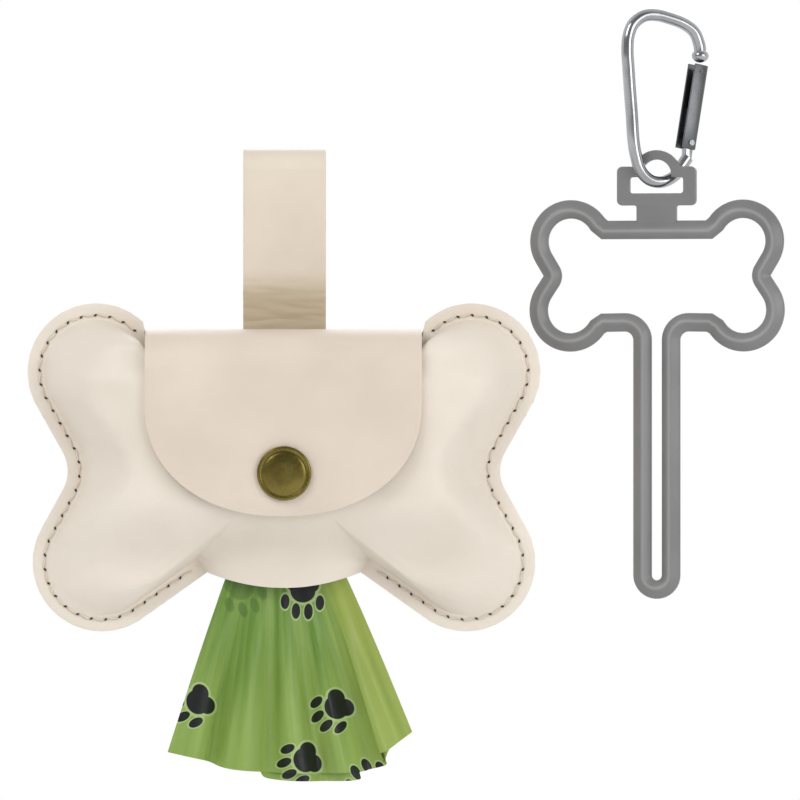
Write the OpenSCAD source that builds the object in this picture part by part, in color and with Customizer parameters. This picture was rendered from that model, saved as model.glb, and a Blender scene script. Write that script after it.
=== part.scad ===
// Bone-shaped leather dog waste bag dispenser, with its used-bag carrier on a carabiner.
// The pouch hangs upright from its strap loop: X to the right, Y to the back, Z up.
// The origin is inside the top of the strap loop, where a leash passes through.

/* [Leather] */
// Thickness of every leather panel and strap
leather_t = 1.6; // [1.2:0.1:2]
// Half the distance between the centres of the two upper lobes
upper_lobe_x = 52.1; // [51:0.1:54]
// Height of the centres of the upper lobes
upper_lobe_z = -60.5; // [-61:0.1:-60]
// Radius of the upper lobes
upper_lobe_r = 19; // [18:0.1:19.5]
// Half the distance between the centres of the two lower lobes
lower_lobe_x = 50.5; // [49:0.1:52]
// Height of the centres of the lower lobes
lower_lobe_z = -113.3; // [-114:0.1:-113]
// Radius of the lower lobes
lower_lobe_r = 19.2; // [18:0.1:19.5]
// Radius of the hollow between the lobes at each side
waist_r = 10.6; // [9:0.1:11]
// Half the distance between the centres of the two side hollows
waist_x = 70.6; // [70:0.1:72]
// Height of the side hollows
waist_z = -88; // [-89:0.1:-87]
// Half the width of the bag mouth at the bottom
mouth_x = 21.3; // [20:0.1:23]
// How far the front panel swells forwards over the roll
front_swell = 18.5; // [18.4:0.1:20]
// How far the back panel swells backwards behind the roll
back_swell = 10.6; // [10.5:0.1:12]
// How far the front panel stands off at the bag mouth
mouth_swell = 8; // [6:0.5:9]

/* [Flap] */
// Half the width of the flap
flap_x = 38.2; // [37:0.1:38.5]
// Height of the lower edge of the flap at its middle
flap_bottom_z = -100.4; // [-102:0.1:-99]
// Height at which the round lower edge of the flap starts
flap_round_z = -69.7; // [-72:0.1:-68]

/* [Snaps] */
// Height of the flap's snap
snap_z = -88.5; // [-90:0.1:-86]
// Radius of the flap's snap cap
snap_cap_r = 7.5; // [6:0.1:8]
// Height of the snap behind the strap
strap_snap_z = -82.6; // [-83:0.1:-82]
// Radius of the strap's snap cap
strap_cap_r = 6; // [5:0.1:6.5]

/* [Strap] */
// Width of the strap
strap_w = 23; // [20:0.5:25]
// Inside radius of the strap's fold at the top
strap_fold_r = 4; // [3:0.1:5]

/* [Roll and film] */
// Outer radius of the roll of bags
roll_r = 13.5; // [12:0.1:13.5]
// Length of the roll of bags
roll_w = 56; // [50:1:56]
// Outer radius of the cardboard core
core_r = 6.5; // [5:0.1:7]
// Length of the cardboard core
core_w = 58; // [52:1:58]
// Height of the roll's axis
roll_z = -65.5; // [-66:0.1:-65]
// Half the width of the bag where it leaves the mouth
film_mouth_x = 14.5; // [13:0.5:15]
// Thickness of the folded film
film_t = 1.4; // [1:0.1:2]

/* [Carrier] */
// Width of the moulded bar
bar_w = 5.2; // [4.5:0.1:5.5]
// Depth of the moulded bar from front to back
bar_d = 4.4; // [3.5:0.1:5]
// Width of the slot in the stem
slot_w = 2.9; // [2.5:0.1:3.5]
// Height of the lowest point of the stem
stem_bottom_z = -123.8; // [-130:0.1:-110]
// Thickness of the hanging loop and its neck
loop_t = 2.4; // [2:0.1:2.6]

/* [Carabiner] */
// Radius of the carabiner's wire
wire_r = 1.75; // [1.5:0.05:1.8]
// Width of the gate across its two walls
gate_w = 4.6; // [4.4:0.1:5]

/* [Hidden] */

leather = [0.87, 0.82, 0.74];
flap_leather = [0.85, 0.79, 0.71];
brass = [0.52, 0.46, 0.24];
thread = [0.42, 0.31, 0.22];
film_green = [0.45, 0.62, 0.27];
card = [0.72, 0.6, 0.44];
grey = [0.53, 0.53, 0.53];
steel = [0.75, 0.76, 0.78];

// The pouch's seam lies this far in front of the middle of the strap loop
strap_mid_y = 16.4;
seam_y = -strap_mid_y;
roll_y = -4;
pouch_mid = [0, -86];

function smooth(a, b, x) = let (t = min(1, max(0, (x - a) / (b - a)))) t * t * (3 - 2 * t);
function lerp(a, b, t) = a + (b - a) * t;
function arc(c, r, a0, a1, n) = [for (i = [0:n]) c + r * [cos(lerp(a0, a1, i / n)), sin(lerp(a0, a1, i / n))]];
function joined(lists) = [for (l = lists) each l];
function mirrored(pts) = [for (i = [len(pts) - 1:-1:0]) [-pts[i][0], pts[i][1]]];
function angle_of(v) = atan2(v[1], v[0]);

// Direction, from the lobe's centre, of the line that touches a lobe and the side hollow
function tangent_angle(lobe, r, side) =
    let (v = [waist_x, waist_z] - lobe)
    angle_of(v) + side * acos((r + waist_r) / norm(v));

upper_lobe = [upper_lobe_x, upper_lobe_z];
lower_lobe = [lower_lobe_x, lower_lobe_z];
upper_touch = tangent_angle(upper_lobe, upper_lobe_r, 1);
lower_touch = tangent_angle(lower_lobe, lower_lobe_r, -1);
// The straight edge from a lower lobe to the mouth slopes by this much
mouth_slope = 33.7;

// Right side of the bone, clockwise from the flap's corner to the mouth, drawn in by an inset
slope_end = mouth_slope - 157.4;
function lobe_edge(inset, fine) = joined([
    arc(upper_lobe, upper_lobe_r - inset, 133, upper_touch, round(14 * fine)),
    arc([waist_x, waist_z], waist_r + inset, upper_touch + 180, lower_touch + 180, round(5 * fine)),
    arc(lower_lobe, lower_lobe_r - inset, lower_touch, slope_end, round(13 * fine))
]);

// The lower edge of the panels, bowed down between the two mouth corners
mouth_corner_z = -116.1;
mouth_bow = 4.2;
function mouth_edge(inset) = [for (i = [6:-1:0]) let (x = mouth_x * i / 6)
    [x * (1 + 0.026 * inset), mouth_corner_z - mouth_bow * (1 - pow(x / mouth_x, 2)) + 0.83 * inset]];

// top holds the upper edge's right half, from the middle outwards
function half_outline(top, inset) = joined([
    [for (p = top) [p[0] * (1 + 0.008 * inset), p[1] - 0.8 * inset]],
    lobe_edge(inset, 1),
    mouth_edge(inset)
]);
function outline(top, inset) =
    let (h = half_outline(top, inset), m = mirrored(h))
    joined([h, [for (i = [1:len(m) - 2]) m[i]]]);

back_top = [[0, -52.4], [8, -52.4], [16, -52.4], [23, -52.4], [30, -52.4], [35, -52.4], [38.4, -51.6]];
front_top = [[0, -56], [8, -56], [16, -56], [23, -56], [30, -55.8], [35, -54.6], [38.4, -52]];

// 1 where an edge of a panel is open and stands off the seam, 0 where it is sewn
function lift(p) = p[1] > -60 ? 1 - smooth(35.5, 39.14, abs(p[0]))
    : (p[1] < -114 && abs(p[0]) < mouth_x) ? 1 - smooth(14, mouth_x, abs(p[0])) : 0;

// The flat sewn margin, and the steps from it to the middle of a panel
margin = 4.6;
rings = [0, 0.04, 0.09, 0.15, 0.23, 0.33, 0.5, 0.78];
puff_w = 15;
function puff(d) = sin(90 * min(1, d / puff_w));

// Distance from the seam to the inner face of a panel: fullest in front of the roll and
// lower towards the mouth, the lobes and the upper edge
function swell(top, bottom, p) = lerp(bottom, top, smooth(-117, -95, p[1]))
    * lerp(1, 0.78, smooth(36, 60, abs(p[0]))) * lerp(1, 0.83, smooth(-64, -55, p[1]));

// A swollen leather shell: dir is -1 for the front and 1 for the back
module panel(top_edge, top, bottom, dir) {
    edge = outline(top_edge, 0);
    sewn = outline(top_edge, margin);
    n = len(edge);
    k = len(rings) + 1;
    function spot(i, v) = pouch_mid + (1 - v) * (sewn[i] - pouch_mid);
    function rise(i, v, p) = let (l = lift(edge[i])) swell(top, bottom, p) * (l + (1 - l) * puff(v * norm(sewn[i] - pouch_mid)));
    function raised(p, h, off) = [p[0], dir * (h + off), p[1]];
    function level(off) = joined([
        [for (i = [0:n - 1]) raised(edge[i], rise(i, 0, edge[i]), off)],
        [for (v = rings) for (i = [0:n - 1]) let (p = spot(i, v)) raised(p, rise(i, v, p), off)],
        [raised(pouch_mid, swell(top, bottom, pouch_mid), off)]
    ]);
    inner = level(0);
    outer = level(leather_t);
    m = len(inner);
    function skin(base, flip) = joined([
        [for (r = [0:k - 2]) for (i = [0:n - 1]) let (j = (i + 1) % n)
            each [tri([base + r * n + i, base + r * n + j, base + (r + 1) * n + i], flip),
                tri([base + r * n + j, base + (r + 1) * n + j, base + (r + 1) * n + i], flip)]],
        [for (i = [0:n - 1]) tri([base + (k - 1) * n + i, base + (k - 1) * n + (i + 1) % n, base + m - 1], flip)]
    ]);
    rim = [for (i = [0:n - 1]) let (j = (i + 1) % n)
        each [tri([i, m + i, j], dir < 0), tri([j, m + i, m + j], dir < 0)]];
    polyhedron(points = concat(inner, outer),
        faces = concat(skin(0, dir < 0), skin(m, dir > 0), rim), convexity = 6);
}
function tri(f, flip) = flip ? [f[0], f[2], f[1]] : f;

// Everything that belongs to the pouch is drawn from the seam
module at_seam() { translate([0, seam_y, 0]) children(); }

// A disc or shaft along Y, from y0 to y1
module across(x, z, y0, y1, r) {
    translate([x, max(y0, y1), z]) rotate([90, 0, 0]) cylinder(h = abs(y1 - y0), r = r, $fn = 48);
}

snap_x = 0.3;
post_r = 1.5;
post_gap = 0.05;

module back_panel() {
    color(leather) at_seam() difference() {
        panel(back_top, back_swell, 0.4, 1);
        across(0, strap_snap_z, back_swell - 5, back_swell + 5, post_r + post_gap);
    }
}

module front_panel() {
    color(leather) at_seam() difference() {
        panel(front_top, front_swell, mouth_swell, -1);
        across(snap_x, snap_z, -front_swell - 5, -front_swell + 5, post_r + post_gap);
    }
}

// Outer faces of the flap, from its hinge over the roll and down the front, at its
// middle and at its side edges: [y, z], with the last stretch scaled to the round edge
flap_mid = [[11.7, -50.4], [8, -49.4], [2, -48.8], [-8, -48.8], [-15.5, -50.2], [-20, -53.6],
    [-21.9, -58.5], [-22.2, -64], [-23.2, -74], [-23.7, -84], [-23.7, -94.5], [-22.7, -100.4]];
flap_side = [[8.5, -50.4], [6.5, -49.4], [1.4, -48.8], [-6.5, -48.9], [-13.7, -50.3], [-18.4, -53.7],
    [-20.8, -58.5], [-21.4, -64], [-22, -74], [-22.6, -84], [-22.6, -94.5], [-21.8, -100.4]];
flap_fall = 6; // from this point on the heights are squeezed to meet the round edge
flap_columns = 24;
round_power = 2.15;

function flap_edge_z(x) =
    flap_round_z + (flap_bottom_z - flap_round_z) * pow(1 - pow(min(1, abs(x) / flap_x), round_power), 1 / round_power);

function flap_point(x, i) =
    let (w = smooth(28, flap_x + 3, abs(x)), p = lerp(flap_mid[i], flap_side[i], w), z6 = flap_mid[flap_fall][1])
    [x, p[0], i <= flap_fall ? p[1] : lerp(z6, flap_edge_z(x), (z6 - flap_mid[i][1]) / (z6 - flap_bottom_z))];

function flap_normal(x, i) =
    let (a = flap_point(x, max(0, i - 1)), b = flap_point(x, min(len(flap_mid) - 1, i + 1)), d = b - a)
    [0, -d[2], d[1]] / norm([d[1], d[2]]);

module flap_sheet() {
    k = len(flap_mid);
    c = flap_columns;
    // Columns lie closer together at the sides, where the edge turns
    xs = [for (j = [0:c]) flap_x * sin(lerp(-90, 90, j / c))];
    outer = [for (i = [0:k - 1]) for (x = xs) flap_point(x, i)];
    inner = [for (i = [0:k - 1]) for (x = xs) flap_point(x, i) + leather_t * flap_normal(x, i)];
    m = len(outer);
    w = c + 1;
    quads = [for (i = [0:k - 2]) for (j = [0:c - 1]) [i * w + j, i * w + j + 1, (i + 1) * w + j + 1, (i + 1) * w + j]];
    border = joined([[for (j = [0:c]) j], [for (i = [1:k - 1]) i * w + c],
        [for (j = [c - 1:-1:0]) (k - 1) * w + j], [for (i = [k - 2:-1:1]) i * w]]);
    polyhedron(points = concat(outer, inner), faces = joined([
        [for (q = quads) each [[q[0], q[1], q[2]], [q[0], q[2], q[3]]]],
        [for (q = quads) each [[m + q[0], m + q[2], m + q[1]], [m + q[0], m + q[3], m + q[2]]]],
        [for (i = [0:len(border) - 1]) let (a = border[i], b = border[(i + 1) % len(border)])
            each [[a, m + b, b], [a, m + a, m + b]]]
    ]), convexity = 6);
}

module flap() {
    color(flap_leather) at_seam() difference() {
        flap_sheet();
        across(snap_x, snap_z, -30, -18, post_r + post_gap);
    }
}

// Sewing thread: short stitches that lie on the flat margin
stitch_pitch = 4;
stitch_gap = 0.7;
thread_r = 0.32;
stitch_inset = 3.3;

// The stitched line is the lobes' edge drawn in by the inset, up to the mouth's corner
function seam_line() = joined([lobe_edge(stitch_inset, 1.4), [[mouth_x + 1.4, mouth_corner_z + 2.6]]]);
function run_to(pts, i) = i == 0 ? 0 : run_to(pts, i - 1) + norm(pts[i] - pts[i - 1]);
function point_at(pts, s, i = 1) =
    let (d = norm(pts[i] - pts[i - 1]))
    s <= d || i == len(pts) - 1 ? lerp(pts[i - 1], pts[i], s / d) : point_at(pts, s - d, i + 1);

module stitch(a, b, y, r) {
    d = b - a;
    translate([a[0], y, a[1]]) rotate([0, 90 - angle_of(d), 0]) cylinder(h = norm(d), r = r, $fn = 6);
}

module seam_thread(side) {
    line = seam_line();
    count = floor(run_to(line, len(line) - 1) / stitch_pitch);
    color(thread) at_seam() for (i = [0:count - 1]) {
        a = point_at(line, i * stitch_pitch + stitch_gap / 2);
        b = point_at(line, (i + 1) * stitch_pitch - stitch_gap / 2);
        stitch([side * a[0], a[1]], [side * b[0], b[1]], -leather_t - thread_r, thread_r);
    }
}

module seam_thread_left() { seam_thread(-1); }
module seam_thread_right() { seam_thread(1); }

// A snap's cap: a flat face inside a rolled rim, with the post that goes through the leather
module snap_cap(r, t, post) {
    rotate_extrude($fn = 64) polygon(joined([
        [[0, -post], [post_r, -post], [post_r, 0], [r - 0.5, 0]],
        arc([r - 0.55, 0.6], 0.55, -80, 100, 6),
        [[r - 1.5, t - 0.5], [r - 2.4, t - 0.15], [0, t]]
    ]));
}

module snap_socket(r, hole, t) {
    rotate_extrude($fn = 64) polygon([[hole, 0], [r - 0.4, 0], [r, 0.4], [r - 0.6, t], [hole + 0.5, t], [hole, t - 0.3]]);
}

module snap_stud(r, h) {
    rotate_extrude($fn = 48) polygon([[0, 0], [r, 0], [r, 0.4], [2.4, 0.7], [1.9, 1], [2.2, 1.3], [1.5, h], [0, h]]);
}

module snap_post(r, reach) {
    rotate_extrude($fn = 48) polygon([[0, 0], [post_r, 0], [post_r, reach], [r - 0.3, reach], [r, reach + 0.3],
        [r - 0.5, reach + 0.7], [0, reach + 0.8]]);
}

// Turns a part that was drawn along +Z so that it points to the front or the back
module facing_front(x, y, z) { translate([x, y, z]) rotate([90, 0, 0]) children(); }
module facing_back(x, y, z) { translate([x, y, z]) rotate([-90, 0, 0]) children(); }

flap_at_snap = -23.7;
module flap_snap_cap() {
    color(brass) at_seam() facing_front(snap_x, flap_at_snap, snap_z) snap_cap(snap_cap_r, 1.5, leather_t);
}
module flap_snap_socket() {
    color(brass) at_seam() facing_back(snap_x, flap_at_snap + leather_t, snap_z) snap_socket(5.5, 3.4, 1);
}
module front_snap_stud() {
    color(brass) at_seam() facing_front(snap_x, -front_swell - leather_t, snap_z) snap_stud(5, 1.8);
}
module front_snap_post() {
    color(brass) at_seam() facing_back(snap_x, -front_swell - leather_t, snap_z) snap_post(4.5, leather_t);
}

// A strip of leather seen from its edge, along a centre line
function side_of(pts, i, d) =
    let (a = pts[max(0, i - 1)], b = pts[min(len(pts) - 1, i + 1)], v = (b - a) / norm(b - a))
    pts[i] + d * [-v[1], v[0]];
function strip(pts, t) = joined([
    [for (i = [0:len(pts) - 1]) side_of(pts, i, t / 2)],
    [for (i = [len(pts) - 1:-1:0]) side_of(pts, i, -t / 2)]
]);

fold_r = strap_fold_r + leather_t / 2;
fold_mid = [strap_mid_y, -strap_fold_r];
ply_y = back_swell + leather_t * 1.5;
tongue_end = -95;
tail_end = -93;
tail_y = 16.3;

front_ply = joined([
    arc(fold_mid, fold_r, 92, 180, 10),
    [[strap_mid_y - fold_r, -30], [strap_mid_y - fold_r + 0.35, -38], [ply_y - 0.15, -45], [ply_y, -49], [ply_y, tongue_end]]
]);
tail_ply = joined([
    arc(fold_mid, fold_r, 88, 0, 10),
    [[strap_mid_y + fold_r, -22], [strap_mid_y + fold_r - 0.8, -36], [tail_y + 0.9, -62], [tail_y, -70], [tail_y, tail_end]]
]);

// A strap's ply, with its lower corners rounded
module ply(path, end) {
    intersection() {
        translate([-strap_w / 2, 0, 0]) rotate([90, 0, 90]) linear_extrude(strap_w) polygon(strip(path, leather_t));
        union() {
            translate([-strap_w / 2 - 1, 0, end + 8]) cube([strap_w + 2, 40, 110]);
            intersection() {
                translate([-strap_w / 2, 0, end - 5]) cube([strap_w, 40, 20]);
                translate([0, 40, end + 20]) rotate([90, 0, 0]) cylinder(h = 40, r = 20, $fn = 72);
            }
        }
    }
}

module strap_front() {
    color(leather) at_seam() difference() {
        ply(front_ply, tongue_end);
        across(0, strap_snap_z, 8, 20, post_r + post_gap);
    }
}

module strap_tail() {
    color(leather) at_seam() difference() {
        ply(tail_ply, tail_end);
        across(0, strap_snap_z, 12, 20, post_r + post_gap);
    }
}

module strap_snap_cap() {
    color(brass) at_seam() facing_back(0, tail_y + leather_t / 2, strap_snap_z) snap_cap(strap_cap_r, 1.4, leather_t);
}
module strap_snap_socket() {
    color(brass) at_seam() facing_front(0, tail_y - leather_t / 2, strap_snap_z) snap_socket(5, 3, 0.9);
}
module strap_snap_stud() {
    color(brass) at_seam() facing_back(0, ply_y + leather_t / 2, strap_snap_z) snap_stud(4.6, 1.5);
}
module strap_snap_post() {
    color(brass) at_seam() facing_front(0, ply_y + leather_t / 2, strap_snap_z) snap_post(4.2, 2 * leather_t);
}

// A box of stitches that holds the strap to the back panel
box_half_w = 8.5;
box_top = -55;
box_bottom = -73;
module strap_thread() {
    y = ply_y + leather_t / 2 + thread_r;
    gap = stitch_gap / 2;
    rows = 4;
    columns = 4;
    step_x = 2 * box_half_w / columns;
    step_z = (box_top - box_bottom) / rows;
    color(thread) at_seam() {
        for (i = [0:columns - 1]) for (z = [box_top, box_bottom])
            stitch([-box_half_w + i * step_x + gap, z], [-box_half_w + (i + 1) * step_x - gap, z], y, thread_r);
        for (i = [0:rows - 1]) for (x = [-box_half_w, box_half_w])
            stitch([x, box_bottom + i * step_z + gap], [x, box_bottom + (i + 1) * step_z - gap], y, thread_r);
    }
}

module along_x(w) { rotate([0, 90, 0]) translate([0, 0, -w / 2]) children(); }

core_wall = 1;
module roll_core() {
    color(card) at_seam() translate([0, roll_y, roll_z]) along_x(core_w) difference() {
        cylinder(h = core_w, r = core_r, $fn = 64);
        translate([0, 0, -1]) cylinder(h = core_w + 2, r = core_r - core_wall, $fn = 64);
    }
}

module bag_roll() {
    color(film_green) at_seam() translate([0, roll_y, roll_z]) along_x(roll_w) difference() {
        cylinder(h = roll_w, r = roll_r, $fn = 96);
        translate([0, 0, -1]) cylinder(h = roll_w + 2, r = core_r, $fn = 64);
    }
}

// The bag that hangs out of the mouth: gathered at the top, fanned out in pleats to its hem
film_top_z = -82;
film_y = -4.2;
hem_left = [-32.2, -165.9];
hem_right = [35.6, -160.3];
hem_drop = 12;
film_rows = 12;
film_columns = 40;
film_pleats = 5.5;
film_start = 0.4; // share of the film's length above the mouth

module bag_film() {
    c = film_columns;
    function hem(u) = lerp(hem_left, hem_right, u) - [0, hem_drop * pow(4 * u * (1 - u), 0.6)];
    function spread(t) = t < film_start ? 0 : pow((t - film_start) / (1 - film_start), 0.9);
    function spot(u, t) =
        let (top = [lerp(-film_mouth_x, film_mouth_x, u), film_top_z], low = hem(u), s = spread(t),
            wave = (0.5 + 3.4 * s) * sin(360 * film_pleats * u) * sin(180 * min(1, max(0, lerp(0.06, 0.94, u)))))
        [lerp(top[0], low[0], s), film_y + wave, lerp(top[1], low[1], t)];
    front = [for (r = [0:film_rows]) for (j = [0:c]) spot(j / c, r / film_rows) - [0, film_t / 2, 0]];
    back = [for (p = front) p + [0, film_t, 0]];
    m = len(front);
    w = c + 1;
    quads = [for (r = [0:film_rows - 1]) for (j = [0:c - 1]) [r * w + j, r * w + j + 1, (r + 1) * w + j + 1, (r + 1) * w + j]];
    border = joined([[for (j = [0:c]) j], [for (r = [1:film_rows]) r * w + c],
        [for (j = [c - 1:-1:0]) film_rows * w + j], [for (r = [film_rows - 1:-1:1]) r * w]]);
    color(film_green) at_seam() polyhedron(points = concat(front, back), faces = joined([
        [for (q = quads) each [[q[0], q[1], q[2]], [q[0], q[2], q[3]]]],
        [for (q = quads) each [[m + q[0], m + q[2], m + q[1]], [m + q[0], m + q[3], m + q[2]]]],
        [for (i = [0:len(border) - 1]) let (a = border[i], b = border[(i + 1) % len(border)])
            each [[a, m + b, b], [a, m + a, m + b]]]
    ]), convexity = 8);
}

// A closed or open tube through a list of points in the XZ plane, with a section [across, deep]
function turn_at(pts, i, closed) =
    let (n = len(pts), a = closed ? pts[(i + n - 1) % n] : pts[max(0, i - 1)], b = closed ? pts[(i + 1) % n] : pts[min(n - 1, i + 1)])
    (b - a) / norm(b - a);

module swept(pts, section, closed) {
    n = len(pts);
    k = len(section);
    points = [for (i = [0:n - 1]) let (v = turn_at(pts, i, closed), side = [-v[1], v[0]])
        for (s = section) [pts[i][0] + side[0] * s[0], s[1], pts[i][1] + side[1] * s[0]]];
    steps = closed ? n : n - 1;
    walls = [for (i = [0:steps - 1]) for (j = [0:k - 1])
        let (i2 = (i + 1) % n, j2 = (j + 1) % k)
        each [[i * k + j, i2 * k + j2, i * k + j2], [i * k + j, i2 * k + j, i2 * k + j2]]];
    caps = closed ? [] : [[for (j = [0:k - 1]) j], [for (j = [k - 1:-1:0]) (n - 1) * k + j]];
    polyhedron(points = points, faces = concat(walls, caps), convexity = 10);
}

// Section of the moulded bar: a flat ridge front and back, with sloping sides
function bar_section() =
    let (w = bar_w / 2, d = bar_d / 2)
    [[w, -d * 0.3], [w * 0.35, -d], [-w * 0.35, -d], [-w, -d * 0.3], [-w, d * 0.3], [-w * 0.35, d], [w * 0.35, d], [w, d * 0.3]];
function round_section(r, n) = [for (i = [0:n - 1]) r * [cos(360 * (i + 0.5) / n), -sin(360 * (i + 0.5) / n)]];

// The carrier hangs turned a little, so that its loop and the carabiner link
carrier_x = 103.9;
carrier_turn = -12;
hook_z = -7.4;

ring_lobe_r = 9;
ring_top = [24.4, -24];
ring_low = [24.6, -43.2];
ring_top_z = -20.8;
ring_low_z = -46.6;
ring_notch = [32.3, -33.6];
notch_r = 2.7;
stem_r = (slot_w + bar_w) / 2;
knee_r = 5;

// Right half of the bone ring and its stem, clockwise from the middle of the top bar
function ring_half() = joined([
    [[0, ring_top_z], [ring_top[0] - 9.6, ring_top_z]],
    arc(ring_top, ring_lobe_r, 148, -31, 16),
    arc(ring_notch, notch_r, 149, 213, 5),
    arc(ring_low, ring_lobe_r, 33, -148, 16),
    [[ring_low[0] - 9.6, ring_low_z - 0.1]],
    arc([stem_r + knee_r, ring_low_z - knee_r], knee_r, 90, 180, 6),
    [[stem_r, stem_bottom_z + bar_w / 2 + stem_r]]
]);
function ring_path() =
    let (h = ring_half(), m = mirrored(h))
    joined([h, arc([0, stem_bottom_z + bar_w / 2 + stem_r], stem_r, -22.5, -157.5, 6), [for (i = [0:len(m) - 2]) m[i]]]);

module carrier_place() { translate([carrier_x, 0, 0]) rotate([0, 0, carrier_turn]) children(); }

loop_w = 22.4;
loop_top = -3.1;
loop_low = -14;
window_w = 15.2;
window_top = -6.1;
window_low = -10.6;
arch_mid_z = -5.4;
arch_r = 6.85;
arch_hole_r = 4.2;
neck_w = 11.3;
corner_r = 1.5;

module rounded_box(w, low, top, r) {
    translate([0, (low + top) / 2]) {
        square([w - 2 * r, top - low], center = true);
        square([w, top - low - 2 * r], center = true);
        for (x = [-1, 1]) for (z = [-1, 1])
            translate([x * (w / 2 - r), z * ((top - low) / 2 - r)]) circle(r = r, $fn = 32);
    }
}

module loop_outline() {
    difference() {
        union() {
            rounded_box(loop_w, loop_low, loop_top, corner_r);
            translate([0, arch_mid_z]) circle(r = arch_r, $fn = 64);
            translate([0, (ring_top_z + loop_low) / 2]) square([neck_w, loop_low - ring_top_z + 2], center = true);
        }
        rounded_box(window_w, window_low, window_top, 0.8);
        translate([0, arch_mid_z]) circle(r = arch_hole_r, $fn = 48);
        translate([0, arch_mid_z - 1]) square([2 * arch_hole_r, 2], center = true);
    }
}

module carrier_frame() {
    color(grey) carrier_place() {
        swept(ring_path(), bar_section(), true);
        translate([0, loop_t / 2, 0]) rotate([90, 0, 0]) linear_extrude(loop_t) loop_outline();
    }
}

// Carabiner, drawn flat and then turned: [across, height] along the middle of its wire
carabiner_turn = 28;
pinch = cos(carabiner_turn);
wire_path = [for (p = [
    [8.6, -0.6], [7.2, -2.6], [5.3, -5.3], [2.6, -7], [0.2, -7.4], [-2.4, -6.6], [-4.6, -4.2], [-5.8, -0.6],
    [-6.6, 4], [-7.1, 11.5], [-7.6, 18], [-8, 24], [-8.3, 29], [-8, 33.2], [-6.6, 36.6], [-3.8, 38.8],
    [-0.4, 39.2], [3.4, 38.4], [7.6, 36.9], [10.6, 34.6], [12, 31.2], [12.3, 28.6]]) [p[0] / pinch, p[1]]];
gate_top = [11.9 / pinch, 25.4];
gate_low = [8.2 / pinch, 1.9];
pin_spot = [8.7 / pinch, 3.6];
pin_r = 0.8;
heel_r = 1.35;
heel_t = 2.4;
catch_r = 0.6;
catch_spot = [gate_top[0] - 0.55, gate_top[1] - 1.8];
gate_wall = 0.6;
gate_d = 4.4;
channel_w = gate_w - 2 * gate_wall;

module carabiner_place() { translate([carrier_x, 0, 0]) rotate([0, 0, carabiner_turn]) children(); }

// The nose that the gate closes on, and the flattened heel that its pin goes through
module carabiner_body() {
    color(steel) carabiner_place() difference() {
        union() {
            swept(wire_path, round_section(wire_r, 10), false);
            translate([12.3 / pinch, 0, 28]) sphere(r = 2.4, $fn = 40);
            translate([pin_spot[0], heel_t / 2, pin_spot[1]]) rotate([90, 0, 0]) cylinder(h = heel_t, r = heel_r, $fn = 40);
            translate([pin_spot[0] - 0.45, 0, pin_spot[1] - 2.4]) rotate([0, 10, 0]) cube([1.9, heel_t, 4.6], center = true);
        }
        translate([pin_spot[0], 5, pin_spot[1]]) rotate([90, 0, 0]) cylinder(h = 10, r = pin_r + post_gap, $fn = 32);
    }
}

module carabiner_gate() {
    lean = atan((gate_top[0] - gate_low[0]) / (gate_top[1] - gate_low[1]));
    length = norm(gate_top - gate_low);
    color(steel) carabiner_place() difference() {
        translate([gate_low[0], 0, gate_low[1]]) rotate([0, lean, 0]) difference() {
            translate([-gate_w / 2, -gate_d / 2, 0]) cube([gate_w, gate_d, length]);
            translate([-gate_w / 2 - 1, -gate_d / 2 + gate_wall, -1]) cube([gate_w + 1 - gate_wall, gate_d - 2 * gate_wall, length + 2]);
            translate([0, -gate_d / 2 + gate_wall, -1]) cube([gate_w, gate_d - 2 * gate_wall, 4.4]);
        }
        translate([pin_spot[0], 5, pin_spot[1]]) rotate([90, 0, 0]) cylinder(h = 10, r = pin_r + post_gap, $fn = 32);
        translate([catch_spot[0], 5, catch_spot[1]]) rotate([90, 0, 0]) cylinder(h = 10, r = catch_r, $fn = 32);
    }
}

module gate_pivot_pin() {
    color(steel) carabiner_place() translate([pin_spot[0], gate_d / 2 + 0.4, pin_spot[1]])
        rotate([90, 0, 0]) cylinder(h = gate_d + 0.8, r = pin_r, $fn = 32);
}

module gate_catch_pin() {
    color(steel) carabiner_place() translate([catch_spot[0], gate_d / 2, catch_spot[1]])
        rotate([90, 0, 0]) cylinder(h = gate_d, r = catch_r, $fn = 32);
}

module gate_spring() {
    color(steel) carabiner_place() translate([pin_spot[0] + 0.4, 0, pin_spot[1] + 2.6]) rotate([0, 11, 0])
        cylinder(h = 7, r = 0.8, $fn = 24);
}

back_panel();
front_panel();
flap();
seam_thread_left();
seam_thread_right();
flap_snap_cap();
flap_snap_socket();
front_snap_stud();
front_snap_post();
strap_front();
strap_tail();
strap_snap_cap();
strap_snap_socket();
strap_snap_stud();
strap_snap_post();
strap_thread();
roll_core();
bag_roll();
bag_film();
carrier_frame();
carabiner_body();
carabiner_gate();
gate_pivot_pin();
gate_catch_pin();
gate_spring();
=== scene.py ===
import bpy
import math
import numpy as np
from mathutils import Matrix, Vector, noise


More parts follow.
